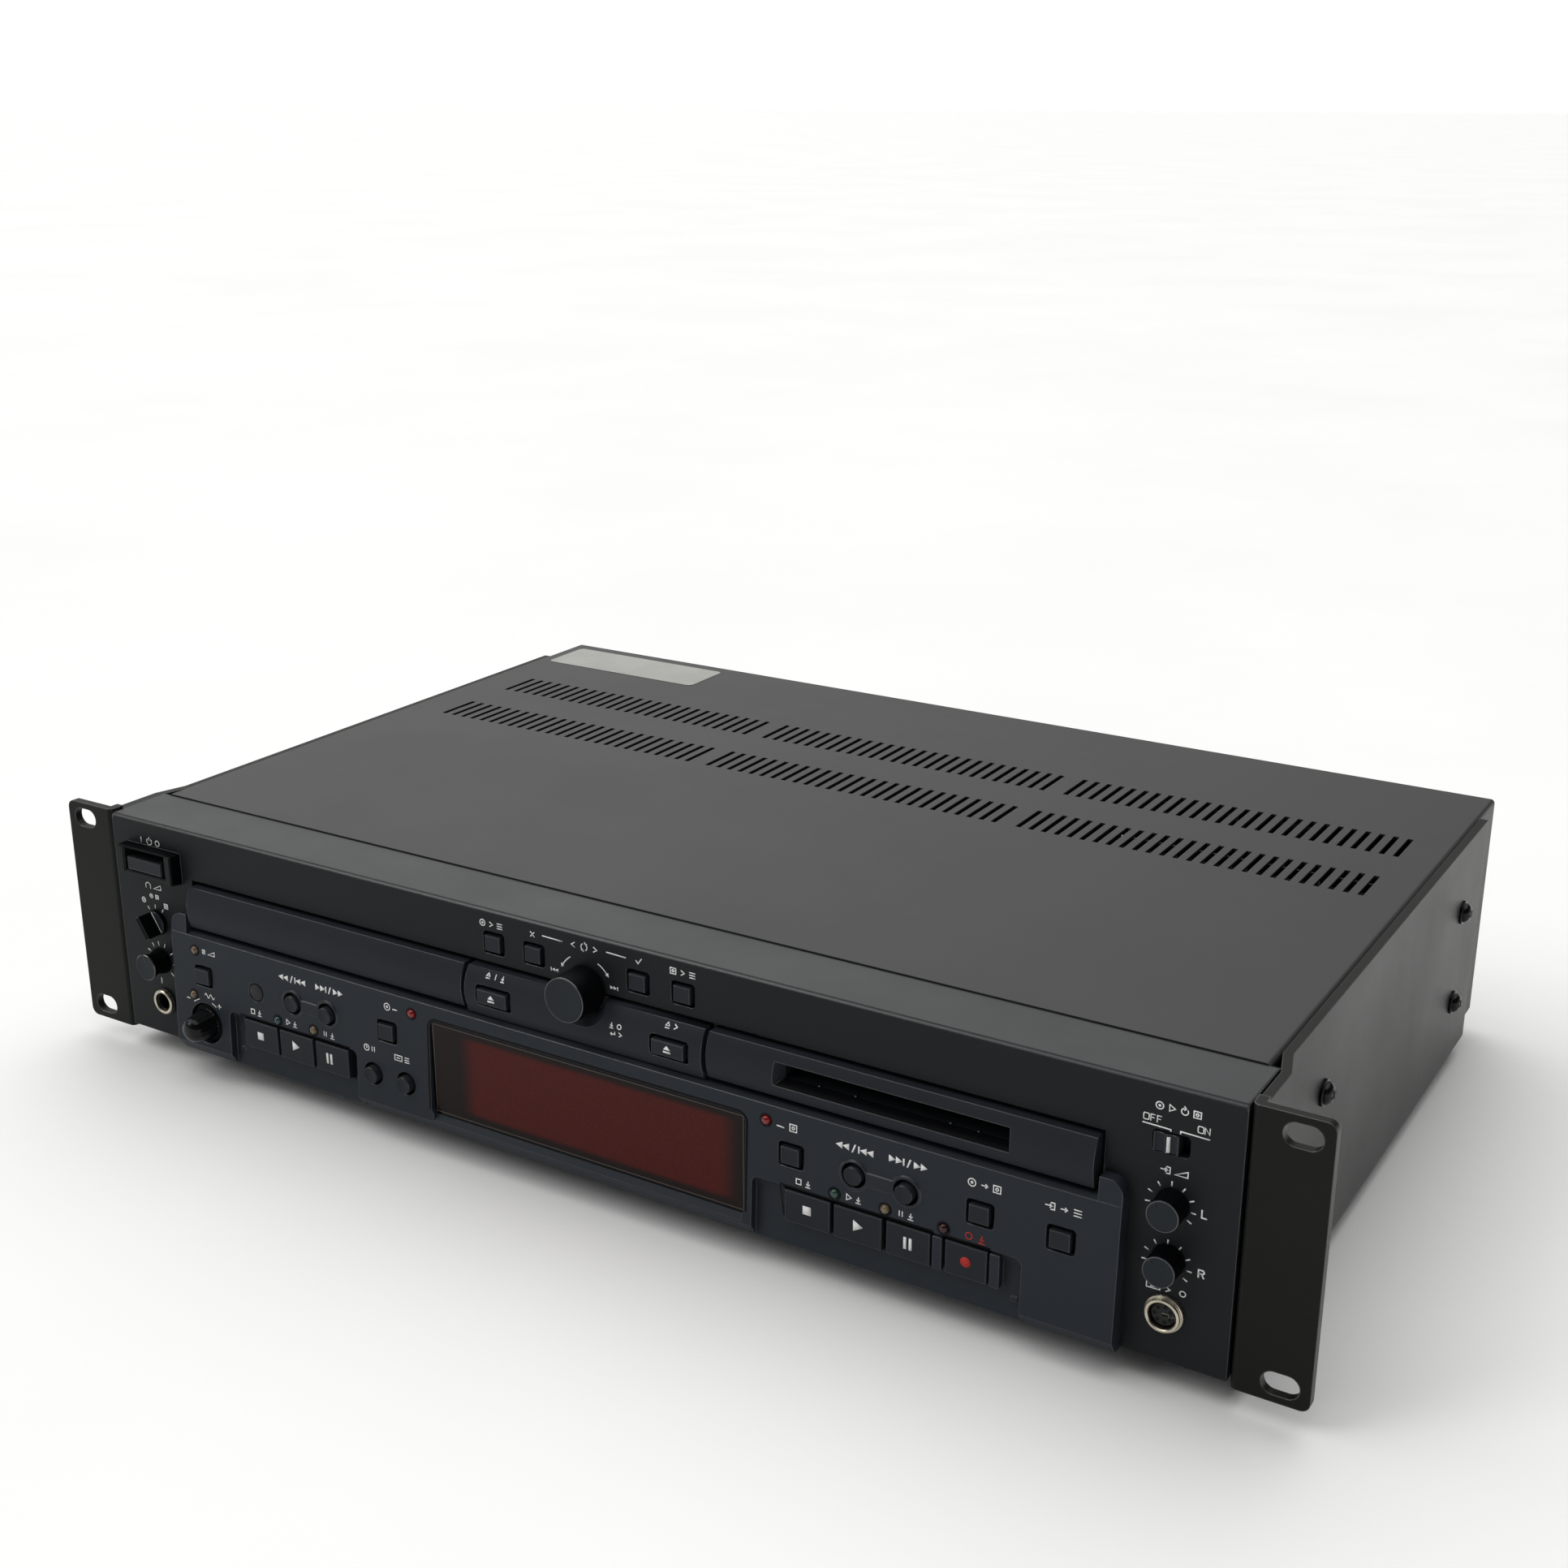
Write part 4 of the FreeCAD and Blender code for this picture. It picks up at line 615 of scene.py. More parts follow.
def buildLamps(bm):
    r, board = lamp["r"], lamp["board"]
    for x, z, skin in lamps:
        along = (slopeTop[0] - z) / (slopeTop[0] - slopeLow[0])
        seat = slopeTop[1] + (slopeLow[1] - slopeTop[1]) * along + lamp["seat"]
        dome = [(r * math.sin(math.radians(a)), seat - r * lamp["dome"] * math.cos(math.radians(a)), skin)
                for a in range(0, 91, 18)]
        turn(bm, dome + [(r, board, skin), (0, board, skin)], (x, 0, z), count=32)


addPiece("indicatorLenses", buildLamps, ["redLens", "amberLens", "greenLens", "darkRedLens"], ["indicator_lamps"])
print("lamps made")


# printed marks

def rectangle(x, z, wide, tall):
    return [(x - wide / 2, z - tall / 2), (x + wide / 2, z - tall / 2), (x + wide / 2, z + tall / 2),
            (x - wide / 2, z + tall / 2)]


def heads(x, z, size, way):
    # two arrowheads in a row from x on; way -1 points them left
    return [[(x + way * i * size, z - size / 2), (x + way * (i + 1) * size, z), (x + way * i * size, z + size / 2)]
            for i in (0, 1)]


def skipMark(x, z, size, way):
    # fast wind and skip in one sign: two heads, a bar, a stroke and two heads
    stroke = [(x + dx * size, z + dz * size) for dx, dz in ((-0.35, -0.6), (-0.1, -0.6), (0.35, 0.6), (0.1, 0.6))]
    return (heads(x - way * 2.9 * size, z, size, way) + heads(x + way * 0.7 * size, z, size, way)
            + [rectangle(x - way * 0.75 * size, z, 0.24 * size, size), stroke])


def arrow(points, head):
    # filled head at the end of a line
    (x0, z0), (x1, z1) = points[-2:]
    way = Vector((x1 - x0, z1 - z0)).normalized()
    side = Vector((-way.y, way.x))
    tip = Vector((x1, z1))
    return [tuple(tip + way * head), tuple(tip + side * head * 0.6), tuple(tip - side * head * 0.6)]


# plain letters, one unit high, and picture marks in millimetres, round their own middles
ring = loop(bow(0, 0, 1.25, 0, 345, 20))
icons = {
    "O": [loop([(-0.32, -0.5), (0.32, -0.5), (0.42, -0.3), (0.42, 0.3), (0.32, 0.5), (-0.32, 0.5), (-0.42, 0.3),
                (-0.42, -0.3)])],
    "F": [[(-0.3, -0.58), (-0.3, 0.5), (0.36, 0.5)], [(-0.3, 0.0), (0.26, 0.0)]],
    "N": [[(-0.36, -0.58), (-0.36, 0.5), (0.36, -0.5), (0.36, 0.58)]],
    "L": [[(-0.3, 0.58), (-0.3, -0.5), (0.36, -0.5)]],
    "R": [[(-0.34, -0.58), (-0.34, 0.5), (0.2, 0.5), (0.36, 0.36), (0.36, 0.14), (0.2, 0.0), (-0.34, 0.0)],
          [(0.02, 0.0), (0.38, -0.58)]],
    "power": [bow(0, 0, 1.25, 40, 320, 16), [(0, 0.2), (0, 1.7)]],
    "phones": [bow(0, -0.2, 1.4, -90, 90, 12), [(-1.35, -0.1), (-1.35, -1.3)], [(1.35, -0.1), (1.35, -1.3)]],
    "menu": [[(-1.3, h), (1.3, h)] for h in (-1.0, 0.0, 1.0)],
    "cross": [[(-1.0, -1.0), (1.0, 1.0)], [(-1.0, 1.0), (1.0, -1.0)]],
    "check": [[(-1.2, 0.1), (-0.3, -1.0), (1.3, 1.1)]],
    "sharp": [[(-0.5, -1.3), (-0.5, 1.2)], [(0.5, -1.2), (0.5, 1.3)], [(-1.2, -0.65), (1.2, -0.35)],
              [(-1.2, 0.35), (1.2, 0.65)]],
    "wave": [[(-2.4 + 0.4 * i, 0.85 * math.sin(i * math.pi / 3)) for i in range(13)]],
    "clock": [ring, [(0, 0.8), (0, 0), (0.6, 0)]],
    "screen": [loop(rectangle(0, 0, 3.8, 2.2)), [(-1.0, 0), (1.0, 0)]],
    "disc": [ring, loop(bow(0, 0, 0.3, 0, 330, 8))],
    "cartridge": [loop(rectangle(0, 0, 2.4, 2.3)), loop(bow(0, 0, 0.45, 0, 330, 10))],
    "into": [[(0.1, 1.1), (1.4, 1.1), (1.4, -1.1), (0.1, -1.1)], [(-1.7, 0), (0.5, 0)],
             [(-0.2, 0.65), (0.6, 0), (-0.2, -0.65)]],
    "toward": [[(-1.1, 0), (0.9, 0)], [(0.3, 0.7), (1.1, 0), (0.3, -0.7)]],
    "enter": [[(1.2, 1.0), (1.2, -0.4), (-1.0, -0.4)], [(-0.4, 0.3), (-1.15, -0.4), (-0.4, -1.1)]],
    "down": [[(0, 1.2), (0, -0.6)], [(-0.7, 0.1), (0, -0.7), (0.7, 0.1)], [(-1.1, -1.3), (1.1, -1.3)]],
    "rise": [loop([(-1.0, -0.2), (0, 1.0), (1.0, -0.2)]), [(-1.2, -1.1), (1.2, -1.1)]],
    "keys": [loop(rectangle(0, 0, 5.0, 2.3)), [(-1.7, 0.35), (1.7, 0.35)], [(-1.1, -0.45), (1.1, -0.45)]],
    "wedge": [loop([(-2.1, -0.9), (2.1, -0.9), (2.1, 1.1)])],
    "loop": [bow(0, 0, 1.15, 50, 350, 16), [(-0.3, 1.85), (0.4, 1.1), (-0.3, 0.4)]],
    "around": [bow(0, 0, 1.3, 25, 155, 10), bow(0, 0, 1.3, 205, 335, 10), [(0.2, 1.9), (0.55, 1.15), (1.35, 1.35)],
               [(-0.2, -1.9), (-0.55, -1.15), (-1.35, -1.35)]],
    "left": [[(0.8, 1.0), (-0.8, 0), (0.8, -1.0)]],
    "right": [[(-0.8, 1.0), (0.8, 0), (-0.8, -1.0)]],
    "stroke": [[(0, -1.2), (0, 1.2)]],
    "square": [loop(rectangle(0, 0, 2.0, 2.0))],
    "wedgeRight": [loop([(-0.9, -1.15), (1.1, 0), (-0.9, 1.15)])],
    "bars": [[(-0.6, -1.1), (-0.6, 1.1)], [(0.6, -1.1), (0.6, 1.1)]],
    "dot": [loop(bow(0, 0, 1.05, 0, 345, 20))],
}


def sign(names, x, z, scale=1.0, step=4.2, weight=0.36):
    # a row of marks centred on a place
    names = names.split()
    made = []
    for i, name in enumerate(names):
        centre = x + (i - (len(names) - 1) / 2) * step * scale
        made += [(shifted(points, centre, z, scale), weight) for points in icons[name]]
    return made


def signs(*rows):
    return [line for row in rows for line in sign(*row)]


jogLeft, jogRight = bow(0, 25.0, 10.9, -34, -58, 8), bow(0, 25.0, 10.2, 27, 52, 8)
panelLines = signs(
    ("stroke power dot", -198.8, 35.3), ("phones wedge", -199.5, 17.6, 0.9, 5.2), ("disc", -205.0, 11.2, 0.75),
    ("cartridge", -193.4, 10.8, 0.75), ("disc cartridge", -199.2, 13.6, 0.62, 4.8, 0.32),
    ("disc right menu", -38.4, 38.0, 0.85), ("cross", -21.3, 38.4, 0.9), ("left around right", -0.6, 38.6, 0.9, 4.8),
    ("check", 20.6, 38.7, 0.9), ("cartridge right menu", 37.2, 38.5, 0.85),
    ("disc wedgeRight loop cartridge", 198.4, 36.4, 0.85), ("into wedge", 198.2, 17.6, 0.9, 5.0),
    ("keys right dot", 199.0, -19.2, 0.8, 5.4), ("L", 207.7, 7.2, 2.3, 0.98, 0.46),
    ("R", 208.1, -11.2, 2.3, 0.98, 0.46), ("O F F", 191.3, 32.2, 1.9, 0.98, 0.3),
    ("O N", 205.9, 32.3, 1.9, 0.98, 0.3))
panelLines += [(points, markLine) for points in (
    [(-17.3, 38.8), (-9.2, 38.6)], [(8.1, 38.9), (15.7, 38.7)], [(-199.9, -19.2), (-199.9, -21.6)], jogLeft,
    jogRight)]
panelLines += [(points, thinLine) for points in (
    [(188.4, 30.2), (196.6, 30.0), (196.6, 29.4)], [(207.7, 30.0), (199.4, 30.2), (199.4, 29.4)])]
panelLines += dialTicks(-199.0, 3.2, 5.6, 7.2, (-36, -2, 33))
panelLines += dialTicks(-198.7, -12.0, 5.9, 7.6, (-64, -34, -7, 20, 56, 94, 132))
for x, z in ((198.0, 7.2), (198.05, -11.0)):
    panelLines += dialTicks(x, z, 5.9, 7.4, (-95, -65, -33, 0, 32, 64, 95, 122))
panelShapes = [arrow(jogLeft, 1.3), arrow(jogRight, 1.3)]
panelShapes += heads(-11.2, 28.0, 1.3, -1) + [rectangle(-14.1, 28.0, 0.35, 1.3)]
panelShapes += heads(9.3, 27.1, 1.3, 1) + [rectangle(12.2, 27.1, 0.35, 1.3)]
printed("panelMarks", "front_panel", panelLines, panelShapes)

consoleLines = signs(
    ("sharp wedge", -167.9, 0.0, 0.8, 4.6), ("wave", -168.2, -17.1), ("clock bars", -90.4, -17.7, 0.9, 3.4),
    ("screen menu", -75.5, -18.1, 0.85, 4.6), ("disc", -81.8, -0.1), ("cartridge", 80.4, -0.4),
    ("disc toward cartridge", 144.4, -0.6, 0.95), ("into toward menu", 169.1, -0.6, 0.95, 4.4),
    *[(name + " down", x, -17.6, 0.85, 3.9) for places in ((-144.7, -127.4, -109.6), (84.4, 101.9, 119.6))
      for name, x in zip(("square", "wedgeRight", "bars"), places)])
consoleLines += [(points, markLine) for points in (
    [(-180.0, -20.1), (-178.2, -20.1)], [(-79.4, -0.5), (-77.2, -0.4)], [(74.5, -0.9), (77.2, -1.1)])]
consoleLines += [(points, thinLine) for points in (
    bow(-170.6, -28.3, 9.4, -38, -18, 6), bow(-170.6, -28.3, 9.4, 22, 36, 6), [(-164.3, -20.0), (-162.5, -20.0)],
    [(-163.4, -19.1), (-163.4, -20.9)])]
consoleShapes = [shape for x, z, way in ((-126.4, -0.6, -1), (-108.3, -0.6, 1), (101.4, -1.1, -1), (119.9, -0.7, 1))
                 for shape in skipMark(x, z, 2.3, way)]
printed("consoleMarks", "control_console", consoleLines, consoleShapes)
printed("recordSign", "control_console", sign("dot down", 142.4, -17.9), skin="redInk")
printed("blockMarks", "centre_block", signs(
    ("rise stroke down", -34.7, 21.3, 0.72), ("rise right", 35.1, 21.4, 0.72), ("down dot", 14.6, 16.9, 0.7),
    ("enter right", 15.1, 14.3, 0.7)))
# painted shadow: a dark ink ring in the gap round the window
windowShadowPath = [(-63.8, -33.5)] + bow(-60.4, -3.3, 3.4, -90, 0, 8) + bow(60.4, -3.3, 3.4, 0, 90, 8) + [(63.8, -33.5)]
printed("windowPaintedShadow", "control_console", [(windowShadowPath, 0.8)], skin="innerPlastic")
# painted shadow: dark ink along the gaps over and beside each bank of long keys, and a thin line of it below: the
# bank's left and right ends
keyShadow = {"banks": ((-152.3, -100.0), (76.6, 128.7), (131.7, 147.3)), "low": -32.4, "top": -20.1, "off": 0.4,
          "wide": 0.6, "under": -33.0, "inset": 2.5, "thin": 0.26}
keyShadowLines = []
for x0, x1 in keyShadow["banks"]:
    side, top, under = x0 - keyShadow["off"], keyShadow["top"], keyShadow["under"]
    keyShadowLines += [([(side, keyShadow["low"]), (side, top), (x1, top)], keyShadow["wide"]),
                 ([(x0 + keyShadow["inset"], under), (x1, under)], keyShadow["thin"])]
printed("keyPaintedShadows", "control_console", keyShadowLines, skin="innerPlastic")
# painted shade: dark ink rings round the lamps, for the shadow in their holes
printed("lampShadeRings", "control_console", [(loop(bow(x, z, lamp["rim"], 0, 345, 23)), 0.34) for x, z, _ in lamps],
        skin="innerPlastic")

liftSign = [[(-1.4, 0.0), (1.4, 0.0), (0, 1.5)], rectangle(0, -0.75, 2.8, 0.6)]
capShapes = {
    "open_close_button": liftSign, "eject_button": liftSign,
    "cd_stop_key": [rectangle(-0.2, 0.2, 2.9, 2.9)],
    "cd_play_key": [[(-1.8, -1.3), (1.6, 0.6), (-1.8, 2.5)]],
    "cd_pause_key": [rectangle(x, 0, 1.0, 4.0) for x in (-2.15, -0.35)],
    "md_stop_key": [rectangle(0, 0.2, 2.9, 2.9)],
    "md_play_key": [[(-1.4, -1.5), (2.0, 0.4), (-1.4, 2.3)]],
    "md_pause_key": [rectangle(x, 0, 1.0, 4.0) for x in (-0.9, 0.9)],
    "record_key": [bow(0, 0, 1.7, 0, 345, 23)],
}
for node, shapes in capShapes.items():
    x, _, z = middle(node)
    printed(node.replace("_", "") + "Mark", node, shapes=[shifted(points, x, z) for points in shapes],
            skin="redInk" if node == "record_key" else "whiteInk")
x, _, z = middle("cont_play_slider")
printed("sliderMark", "cont_play_slider", [([(x + 0.7, z - 2.6), (x + 0.7, z + 2.2)], 0.9)])
print("marks printed")


# the block round the dial, moulded in one: planes where its solid is divided, either side of the middle
blockPlanes = (-6.0, -3.0, 3.0, 6.0)


def buildBlock(bm):
    bm.from_mesh(nodes["centre_block"].data)
    inner = [face for face in bm.faces
             for plane in blockPlanes
             if all(abs(corner.co.x - spot(plane, 0, 0).x) < 0.01 * mm for corner in face.verts)]
    bmesh.ops.delete(bm, geom=inner, context="FACES")
    bmesh.ops.remove_doubles(bm, verts=bm.verts, dist=0.01 * mm)


def crownNormals(piece):
    # the crowned front is one arc, so each of its corners takes the arc's own normal
    mesh, steep = piece.data, 0.8
    front = {i for face in mesh.polygons if face.normal.y < -steep for i in face.vertices}
    crown = [mesh.vertices[i].co for i in front]
    three = min(crown, key=lambda p: p.z), max(crown, key=lambda p: p.z), min(crown, key=lambda p: p.y)
    # circle through the three places, in the plane of y and z
    turns = [(three[i], three[i - 2], three[i - 1]) for i in range(3)]
    area = 2 * sum(p.y * (q.z - r.z) for p, q, r in turns)
    midY = sum((p.y ** 2 + p.z ** 2) * (q.z - r.z) for p, q, r in turns) / area
    midZ = sum((p.y ** 2 + p.z ** 2) * (r.y - q.y) for p, q, r in turns) / area
    normals = [corner.vector.copy() for corner in mesh.corner_normals]
    for face in mesh.polygons:
        if face.normal.y < -steep:
            for i in face.loop_indices:
                p = mesh.vertices[mesh.loops[i].vertex_index].co
                normals[i] = Vector((0, p.y - midY, p.z - midZ)).normalized()
    mesh.normals_split_custom_set(normals)


crownNormals(addPiece("centreBlock", buildBlock, ["blockPlastic"], ["centre_block"]))

# snap-on surround of the mains key: a lip at its right, and its right flank, upper bar and a liner in near-black
# plastic, painted shade for the faces that lie in shadow
surround = {"x": (-210.5, -183.3), "z": (22.5, 33.6), "key": (-208.4, -186.0, 23.9, 33.0), "y": (-5.4, -3.9),
            "shadeLiner": (-187.2, 0.2), "lip": 0.6, "over": 0.06, "rear": -0.1}


def buildSurround(bm):
    (x0, x1), (z0, z1), (k0, k1, kz0, kz1), (y0, y1), (shadeLiner, thin), lip, over, rear = surround.values()
    block(bm, (k1, y0, z0), (x1, y0 + lip, z1), 0.2)
    block(bm, (k1, y0 + lip, z0 - over), (x1 + over, rear, z1 + over), 0.05, 1)
    block(bm, (x0 - over, y1 - lip, kz1), (k1, rear, z1 + over), 0.05, 1)
    block(bm, (x0 - over, y1 - lip, z0), (k0, y1, kz1), 0.15)
    block(bm, (k0, y1 - lip, z0), (k1, y1, kz0), 0.15)
    block(bm, (shadeLiner, y1 - thin, kz0), (k1, y1, kz1), 0.05, 1)


addPiece("powerSurround", buildSurround, ["surroundPlastic", "knobSide"])

# locating pins along the lower edge of the minidisc slot's mouth, and a black sheet laid over its lower flare,
# painted shade in the mouth
slotPinsAndShade = {"pins": (87.0, 99.5, 131.0, 140.0), "half": 0.4, "y": (-1.35, -0.15), "z": (13.5, 14.05),
           "front": (73.4, 151.0, -4.55, 11.95), "rear": (75.3, 149.7, -1.25, 13.6), "lift": 0.14}


def buildSlotPinsAndShade(bm):
    pins, half, (y0, y1), (z0, z1), front, rear, lift = slotPinsAndShade.values()
    for x in pins:
        block(bm, (x - half, y0, z0), (x + half, y1, z1), 0.12)
    rows = []
    # black sheet over the lower flare from its front edge to its rear: painted shade
    for t in (0.0, 0.06, 0.5, 1.0):
        x0, x1, y, z = (a + (b - a) * t for a, b in zip(front, rear))
        rows.append([bm.verts.new(spot(x, y, z + (lift if t else 0.0))) for x in (x0, x1)])
    for near, far in zip(rows, rows[1:]):
        bm.faces.new((near[0], near[1], far[1], far[0])).material_index = 1


addPiece("slotPinsAndShade", buildSlotPinsAndShade, ["keyPlastic", "knobSide"])

# dust baffle behind the slots of the rear panel, with folded edges
baffle = {"x": (-66.0, 44.0), "y": 278.6, "z": (-6.0, 28.0), "fold": 3.0, "sheet": 0.6}


def buildBaffle(bm):
    (x0, x1), y, (z0, z1), fold, sheet = baffle.values()
    block(bm, (x0, y, z0), (x1, y + sheet, z1), 0.1)
    for low, high in (((x0, z0), (x1, z0 + sheet)), ((x0, z1 - sheet), (x1, z1)), ((x0, z0), (x0 + sheet, z1)),
                      ((x1 - sheet, z0), (x1, z1))):
        block(bm, (low[0], y - fold, low[1]), (high[0], y + sheet, high[1]), 0.1)


addPiece("rearBaffle", buildBaffle, ["innerPlastic"])

# pan-head screws with washers on the side plates
screw = {"head": 3.6, "washer": 4.3, "y": (70.0, 233.0), "z": (16.0, -19.5), "cross": (25, 115), "arm": 1.9,
         "half": 0.35, "top": 3.34}


def buildSideScrews(bm):
    head, washer, rows, heights, cross, arm, half, top = screw.values()
    for node, way in (("rack_ear_left", -1), ("rack_ear_right", 1)):
        for y, z in ((y, z) for y in rows for z in heights):
            _, place, _, _ = nodes[node].ray_cast(spot(way * 300, y, z), Vector((-way, 0, 0)))
            face = (place - rackCentre).x / mm
            profile = [(0, 3.3), (1.4, 3.25), (2.5, 2.9), (3.2, 2.2), (head, 1.3), (head, 1.0), (washer - 0.2, 0.95),
                       (washer, 0.8), (washer, 0.0)]
            turn(bm, [(r, way * d) for r, d in profile], (face, y, z), "x", 40)
            # a flat cross of dark plastic on each head: painted shade in place of a cut recess
            for a in map(math.radians, cross):
                near, far = [Vector((face + way * top, y + s * arm * math.cos(a), z + s * arm * math.sin(a)))
                             for s in (-1, 1)]
                side = Vector((0, -math.sin(a), math.cos(a))) * half
                corners = [bm.verts.new(spot(*c)) for c in (near - side, far - side, far + side, near + side)]
                bm.faces.new(corners).material_index = 1


addPiece("sideScrews", buildSideScrews, ["blackSteel", "innerPlastic"])

# bare vinyl plate at the rear left of the cover
plate = {"low": (-209.0, 251.0), "high": (-129.0, 277.0), "corner": 2.5, "lift": 0.15}


def buildPlate(bm):
    (x0, y0), (x1, y1), c, lift = plate.values()
    top = (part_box("top_cover")[1] - rackCentre).z / mm + lift
    points = []
    for x, y, start in ((x1 - c, y1 - c, 0), (x1 - c, y0 + c, 90), (x0 + c, y0 + c, 180), (x0 + c, y1 - c, 270)):
        points += bow(x, y, c, start, start + 90, 6)
    upper = [bm.verts.new(spot(x, y, top)) for x, y in points]
    lower = [bm.verts.new(spot(x, y, top - lift)) for x, y in points]
    bm.faces.new(upper)
    for i in range(len(points)):
        j = (i + 1) % len(points)
        bm.faces.new((upper[i], upper[j], lower[j], lower[i]))


addPiece("coverPlate", buildPlate, ["plateVinyl"])
print("pins, screws and plate made")

# front sockets: where each stands, its inner radius, how far its body reaches to each side and back
jack = {"x": -198.7, "z": -28.5, "bore": 3.2, "deep": 31.0, "body": (8, 3.0, 34.0)}


def buildJack(bm):
    x, z, bore, deep, (half, front, rear) = jack.values()
    turn(bm, [(3.5, -1.2), (3.65, -1.75), (3.95, -1.98), (4.35, -2.0), (4.75, -1.7), (4.85, -1.2), (4.85, -0.7),
              (5.2, -0.6, 1), (5.2, 0.0, 1), (4.3, 0.02, 1), (4.3, front, 1)], (x, 0, z))
    turn(bm, [(3.5, -1.2), (3.5, -0.9, 1), (bore, -0.6, 1), (bore, deep, 1), (0, deep, 1)], (x, 0, z))
    block(bm, (x - half, front, z - half), (x + half, rear, z + half), 0.5, 1)


addPiece("phonesSocket", buildJack, ["nickel", "socketNylon"], ["phones_jack"])

din = {"x": 198.6, "z": -26.6, "holes": (-75, -30, 30, 75, 130, 180, 230), "circle": 2.45, "body": (7, 3.0, 15.0)}


def buildKeyboardSocket(bm):
    x, z, holes, circle, (half, front, rear) = din.values()
    turn(bm, [(4.05, -1.0), (4.15, -2.5), (4.4, -2.78), (4.75, -2.8), (5.1, -2.6), (5.2, -2.2), (5.2, -1.9),
              (5.4, -1.8), (5.4, -1.5), (5.55, -1.4), (5.75, -1.3), (5.8, -1.1), (5.8, 0.0), (4.8, 0.02),
              (4.8, front)], (x, 0, z))
    turn(bm, [(4.05, -1.0), (4.0, -0.4, 2), (3.55, -0.3, 2), (3.5, -1.3, 1), (3.35, -1.45, 1), (0, -1.45, 1)],
         (x, 0, z))
    # black discs and bars on the insert: painted shade of its pin holes and key slots
    for a in map(math.radians, holes):
        turn(bm, [(0.62, -1.5, 1), (0.52, -1.52, 2), (0, -1.51, 2)],
             (x + circle * math.cos(a), 0, z + circle * math.sin(a)), count=16)
    block(bm, (x - 0.4, -1.55, z - 0.65), (x + 1.7, -1.4, z + 0.45), 0.05, 2)
    block(bm, (x + 2.6, -1.55, z - 1.2), (x + 3.6, -0.6, z), 0.05, 2)
    block(bm, (x - half, front, z - half), (x + half, rear, z + half), 0.5, 1)


addPiece("keyboardSocket", buildKeyboardSocket, ["nickel", "socketNylon", "innerPlastic"], ["keyboard_socket"])

# rear sockets: nickel barrels round white and red insulators
phono = {"columns": (80.0, 110.0, 140.0, 170.0), "rows": ((-23.0, 1), (-7.0, 0)), "r": 4.15, "panel": 282.9,
         "end": 293.2, "block": (12.0, 269.7, -31.0, 1.0), "lap": 0.8}


def buildPhono(bm):
    columns, rows, r, panel, end, (half, y0, z0, z1), lap = phono.values()
    for x in columns:
        block(bm, (x - half, y0, z0), (x + half, panel, z1), 0.4, 3)
        block(bm, (x - half - lap, panel - 0.1, z0 - lap), (x + half + lap, panel + 0.5, z1 + lap), 0.15, 3)
        for z, skin in rows:
            turn(bm, [(r + 1.2, panel, 2), (r + 1.2, panel + 1.0, 2), (r, panel + 1.1, 2), (r, end - 0.3, 2),
                      (r - 0.3, end, 2), (r - 0.8, end, 2), (r - 0.85, end - 0.4, 2), (r - 0.9, end - 0.5, skin),
                      (1.9, end - 0.5, skin), (1.7, end - 0.7, skin), (1.7, end - 6.0, 3), (0, end - 6.0, 3)],
                 (x, 0, z), count=36)


addPiece("phonoSockets", buildPhono, ["whiteNylon", "redNylon", "nickel", "socketNylon"], ["rca_jacks"])

# rubber feet with a rounded tread edge
feet = {"x": (-178.0, 178.0), "y": (46.0, 246.0)}


def buildFeet(bm):
    bottom, top = ((corner - rackCentre).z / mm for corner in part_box("feet"))
    for x, y in ((x, y) for x in feet["x"] for y in feet["y"]):
        turn(bm, [(0, bottom + 3.0), (3.4, bottom + 3.0), (4.0, bottom + 2.6), (4.2, bottom + 0.4), (4.8, bottom),
                  (9.0, bottom), (9.8, bottom + 0.5), (10.1, bottom + 1.4), (11.0, top - 0.6), (11.0, top), (0, top)],
             (x, y, 0), "z", 48)


addPiece("rubberFeet", buildFeet, ["footRubber"], ["feet"])
print("sockets and feet made")

# floor, in metres
half = 40.0
floorMesh = bpy.data.meshes.new("floor")
floorMesh.from_pydata([(-half, -half, 0), (half, -half, 0), (half, half, 0), (-half, half, 0)], [], [(0, 1, 2, 3)])
floorMesh.materials.append(materials["floorCard"])
floor = addObject("floor", floorMesh)

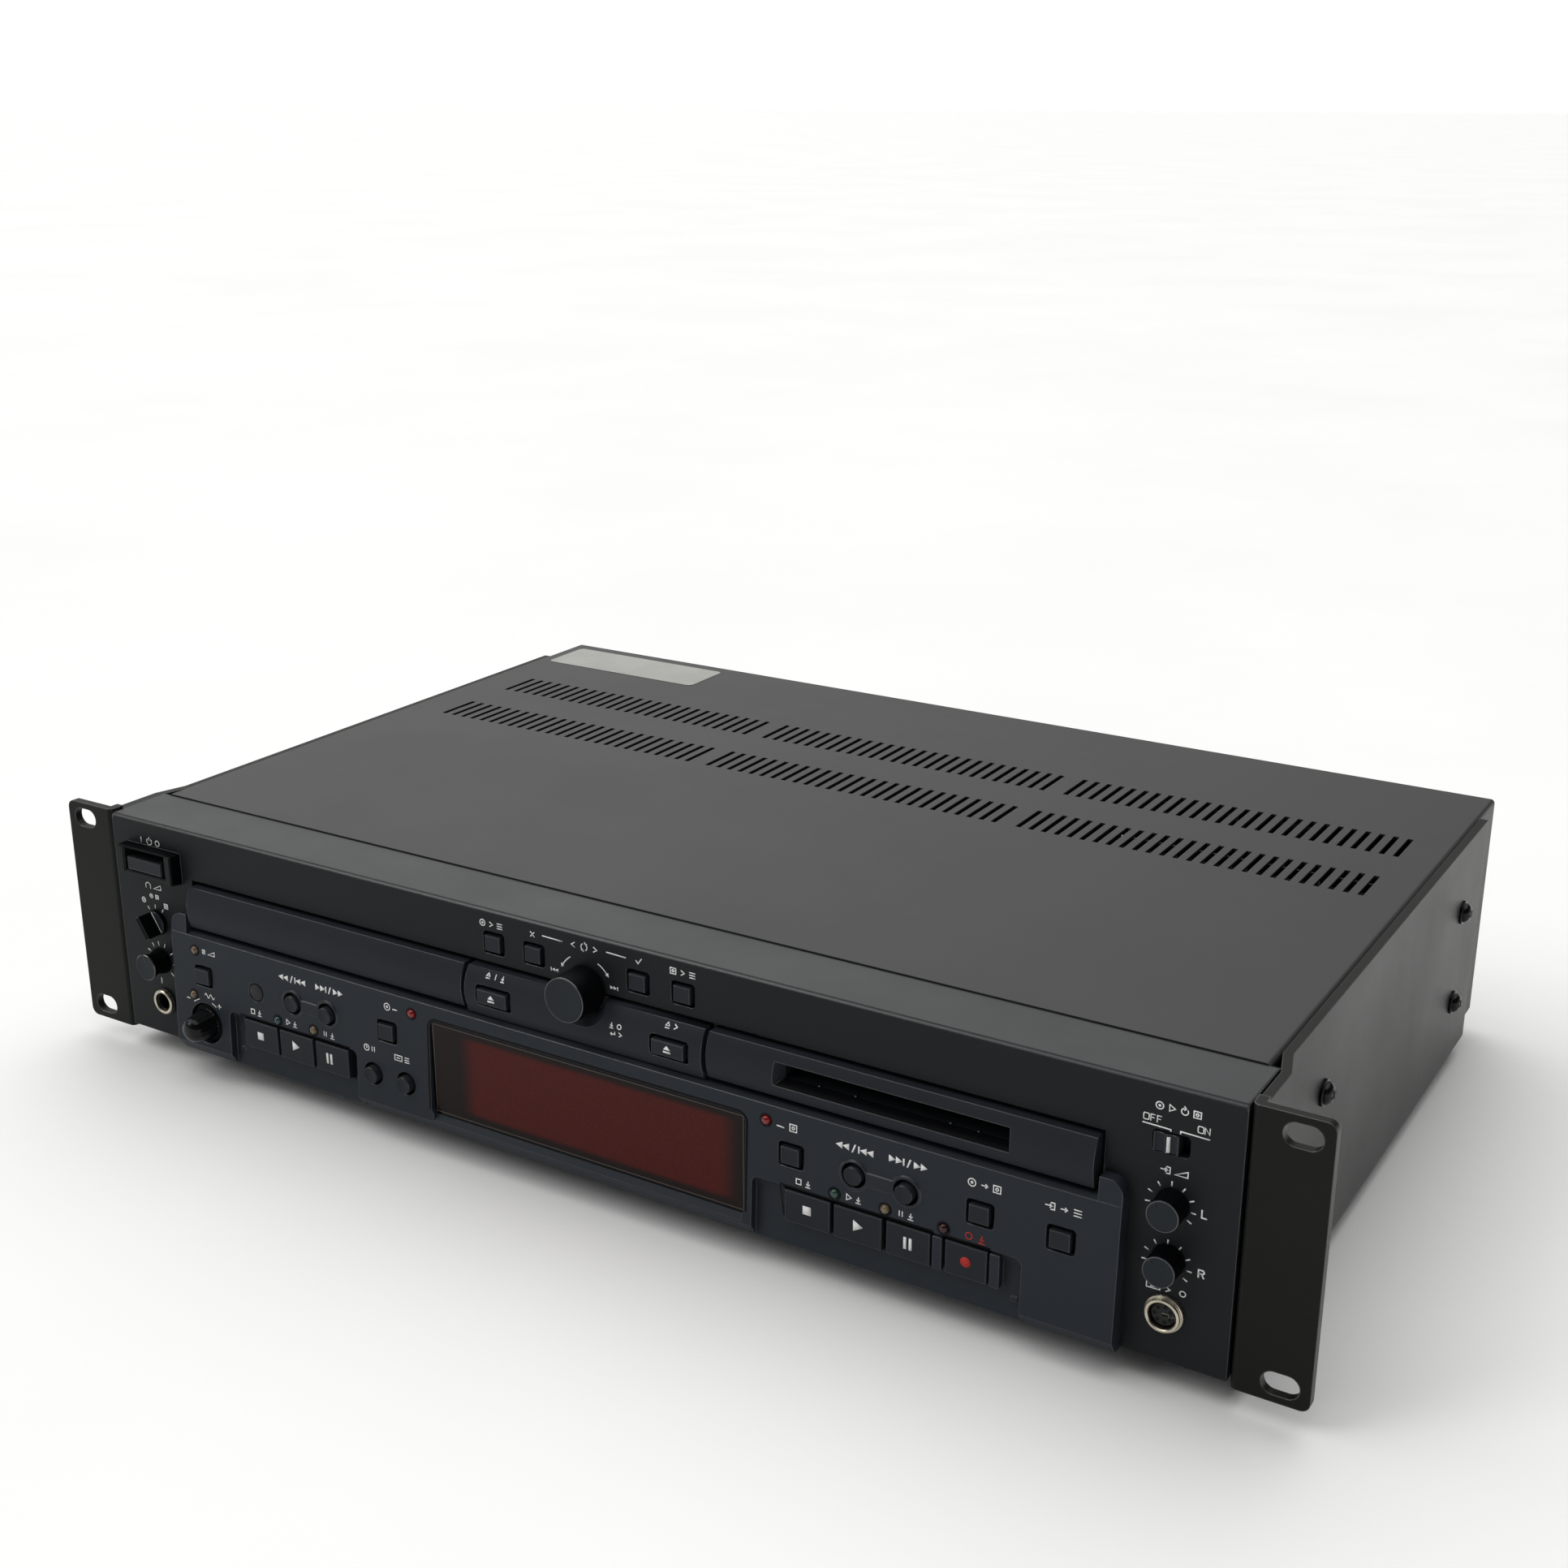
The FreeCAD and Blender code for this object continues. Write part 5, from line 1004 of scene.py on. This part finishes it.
# pale surroundings: white along the horizon, grey above it, brighter towards the left rear, dim in front and overhead
world = bpy.data.worlds.new("studio")
scene.world = world
world.use_nodes = True
sky = world.node_tree
heading = addNode(sky, "TexCoord").outputs["Generated"]
height = addNode(sky, "SeparateXYZ", {"Vector": heading}).outputs["Z"]
facing = addNode(sky, "VectorMath", {"operation": "DOT_PRODUCT", 0: heading, 1: (-0.81, 0.51, 0.3)})
side = addNode(sky, "MapRange", {"From Min": -0.3, "From Max": 1.05, "Value": facing.outputs["Value"]})
curved = addNode(sky, "Math", {"operation": "POWER", 0: side, 1: 3.0})
rear = addNode(sky, "Math", {"operation": "MULTIPLY_ADD", 0: curved, 1: 0.53, 2: 0.08})
ceiling = addNode(sky, "MapRange", {
    **eased, "From Min": 0.45, "From Max": 0.75, "To Min": 1.0, "To Max": 0.25, "Value": height})
upper = addNode(sky, "Math", {**times, 0: rear, 1: ceiling})
low = addNode(sky, "MapRange", {
    **eased, "From Min": 0.05, "From Max": 0.13, "To Min": 1.1, "To Max": 0.0, "Value": height})
glow = addNode(sky, "Math", {**larger, 0: upper, 1: low})
backdrop = sky.nodes["Background"]
sky.links.new(glow.outputs["Value"], backdrop.inputs["Strength"])
backdrop.inputs["Color"].default_value = tint("fbfbfa")

# suns: the way from the deck to the light, its spread in degrees and its strength
suns = {"overhead": ((-0.24, 0.21, 0.95), 95, 3.0), "window": ((-0.56, -0.58, 0.58), 26, 0.6)}
for name, (toward, spread, strength) in suns.items():
    light = bpy.data.lights.new(name, "SUN")
    light.angle = math.radians(spread)
    light.energy = strength
    addObject(name, light).rotation_euler = Vector(toward).to_track_quat("Z", "Y").to_euler()

# camera at the viewing angle
lens = {"place": (0.36138, -0.60916, 0.34642), "turn": (71.1088, -0.0927, 31.479), "focal": 46.415, "sensor": 36.0}
cameraData = bpy.data.cameras.new("camera")
cameraData.lens = lens["focal"]
cameraData.sensor_width = lens["sensor"]
cameraData.clip_start = 0.01
camera = addObject("camera", cameraData)
camera.location = lens["place"]
camera.rotation_euler = [math.radians(a) for a in lens["turn"]]
scene.camera = camera
scene.view_settings.view_transform = "Standard"
print("stage, lights and camera set")
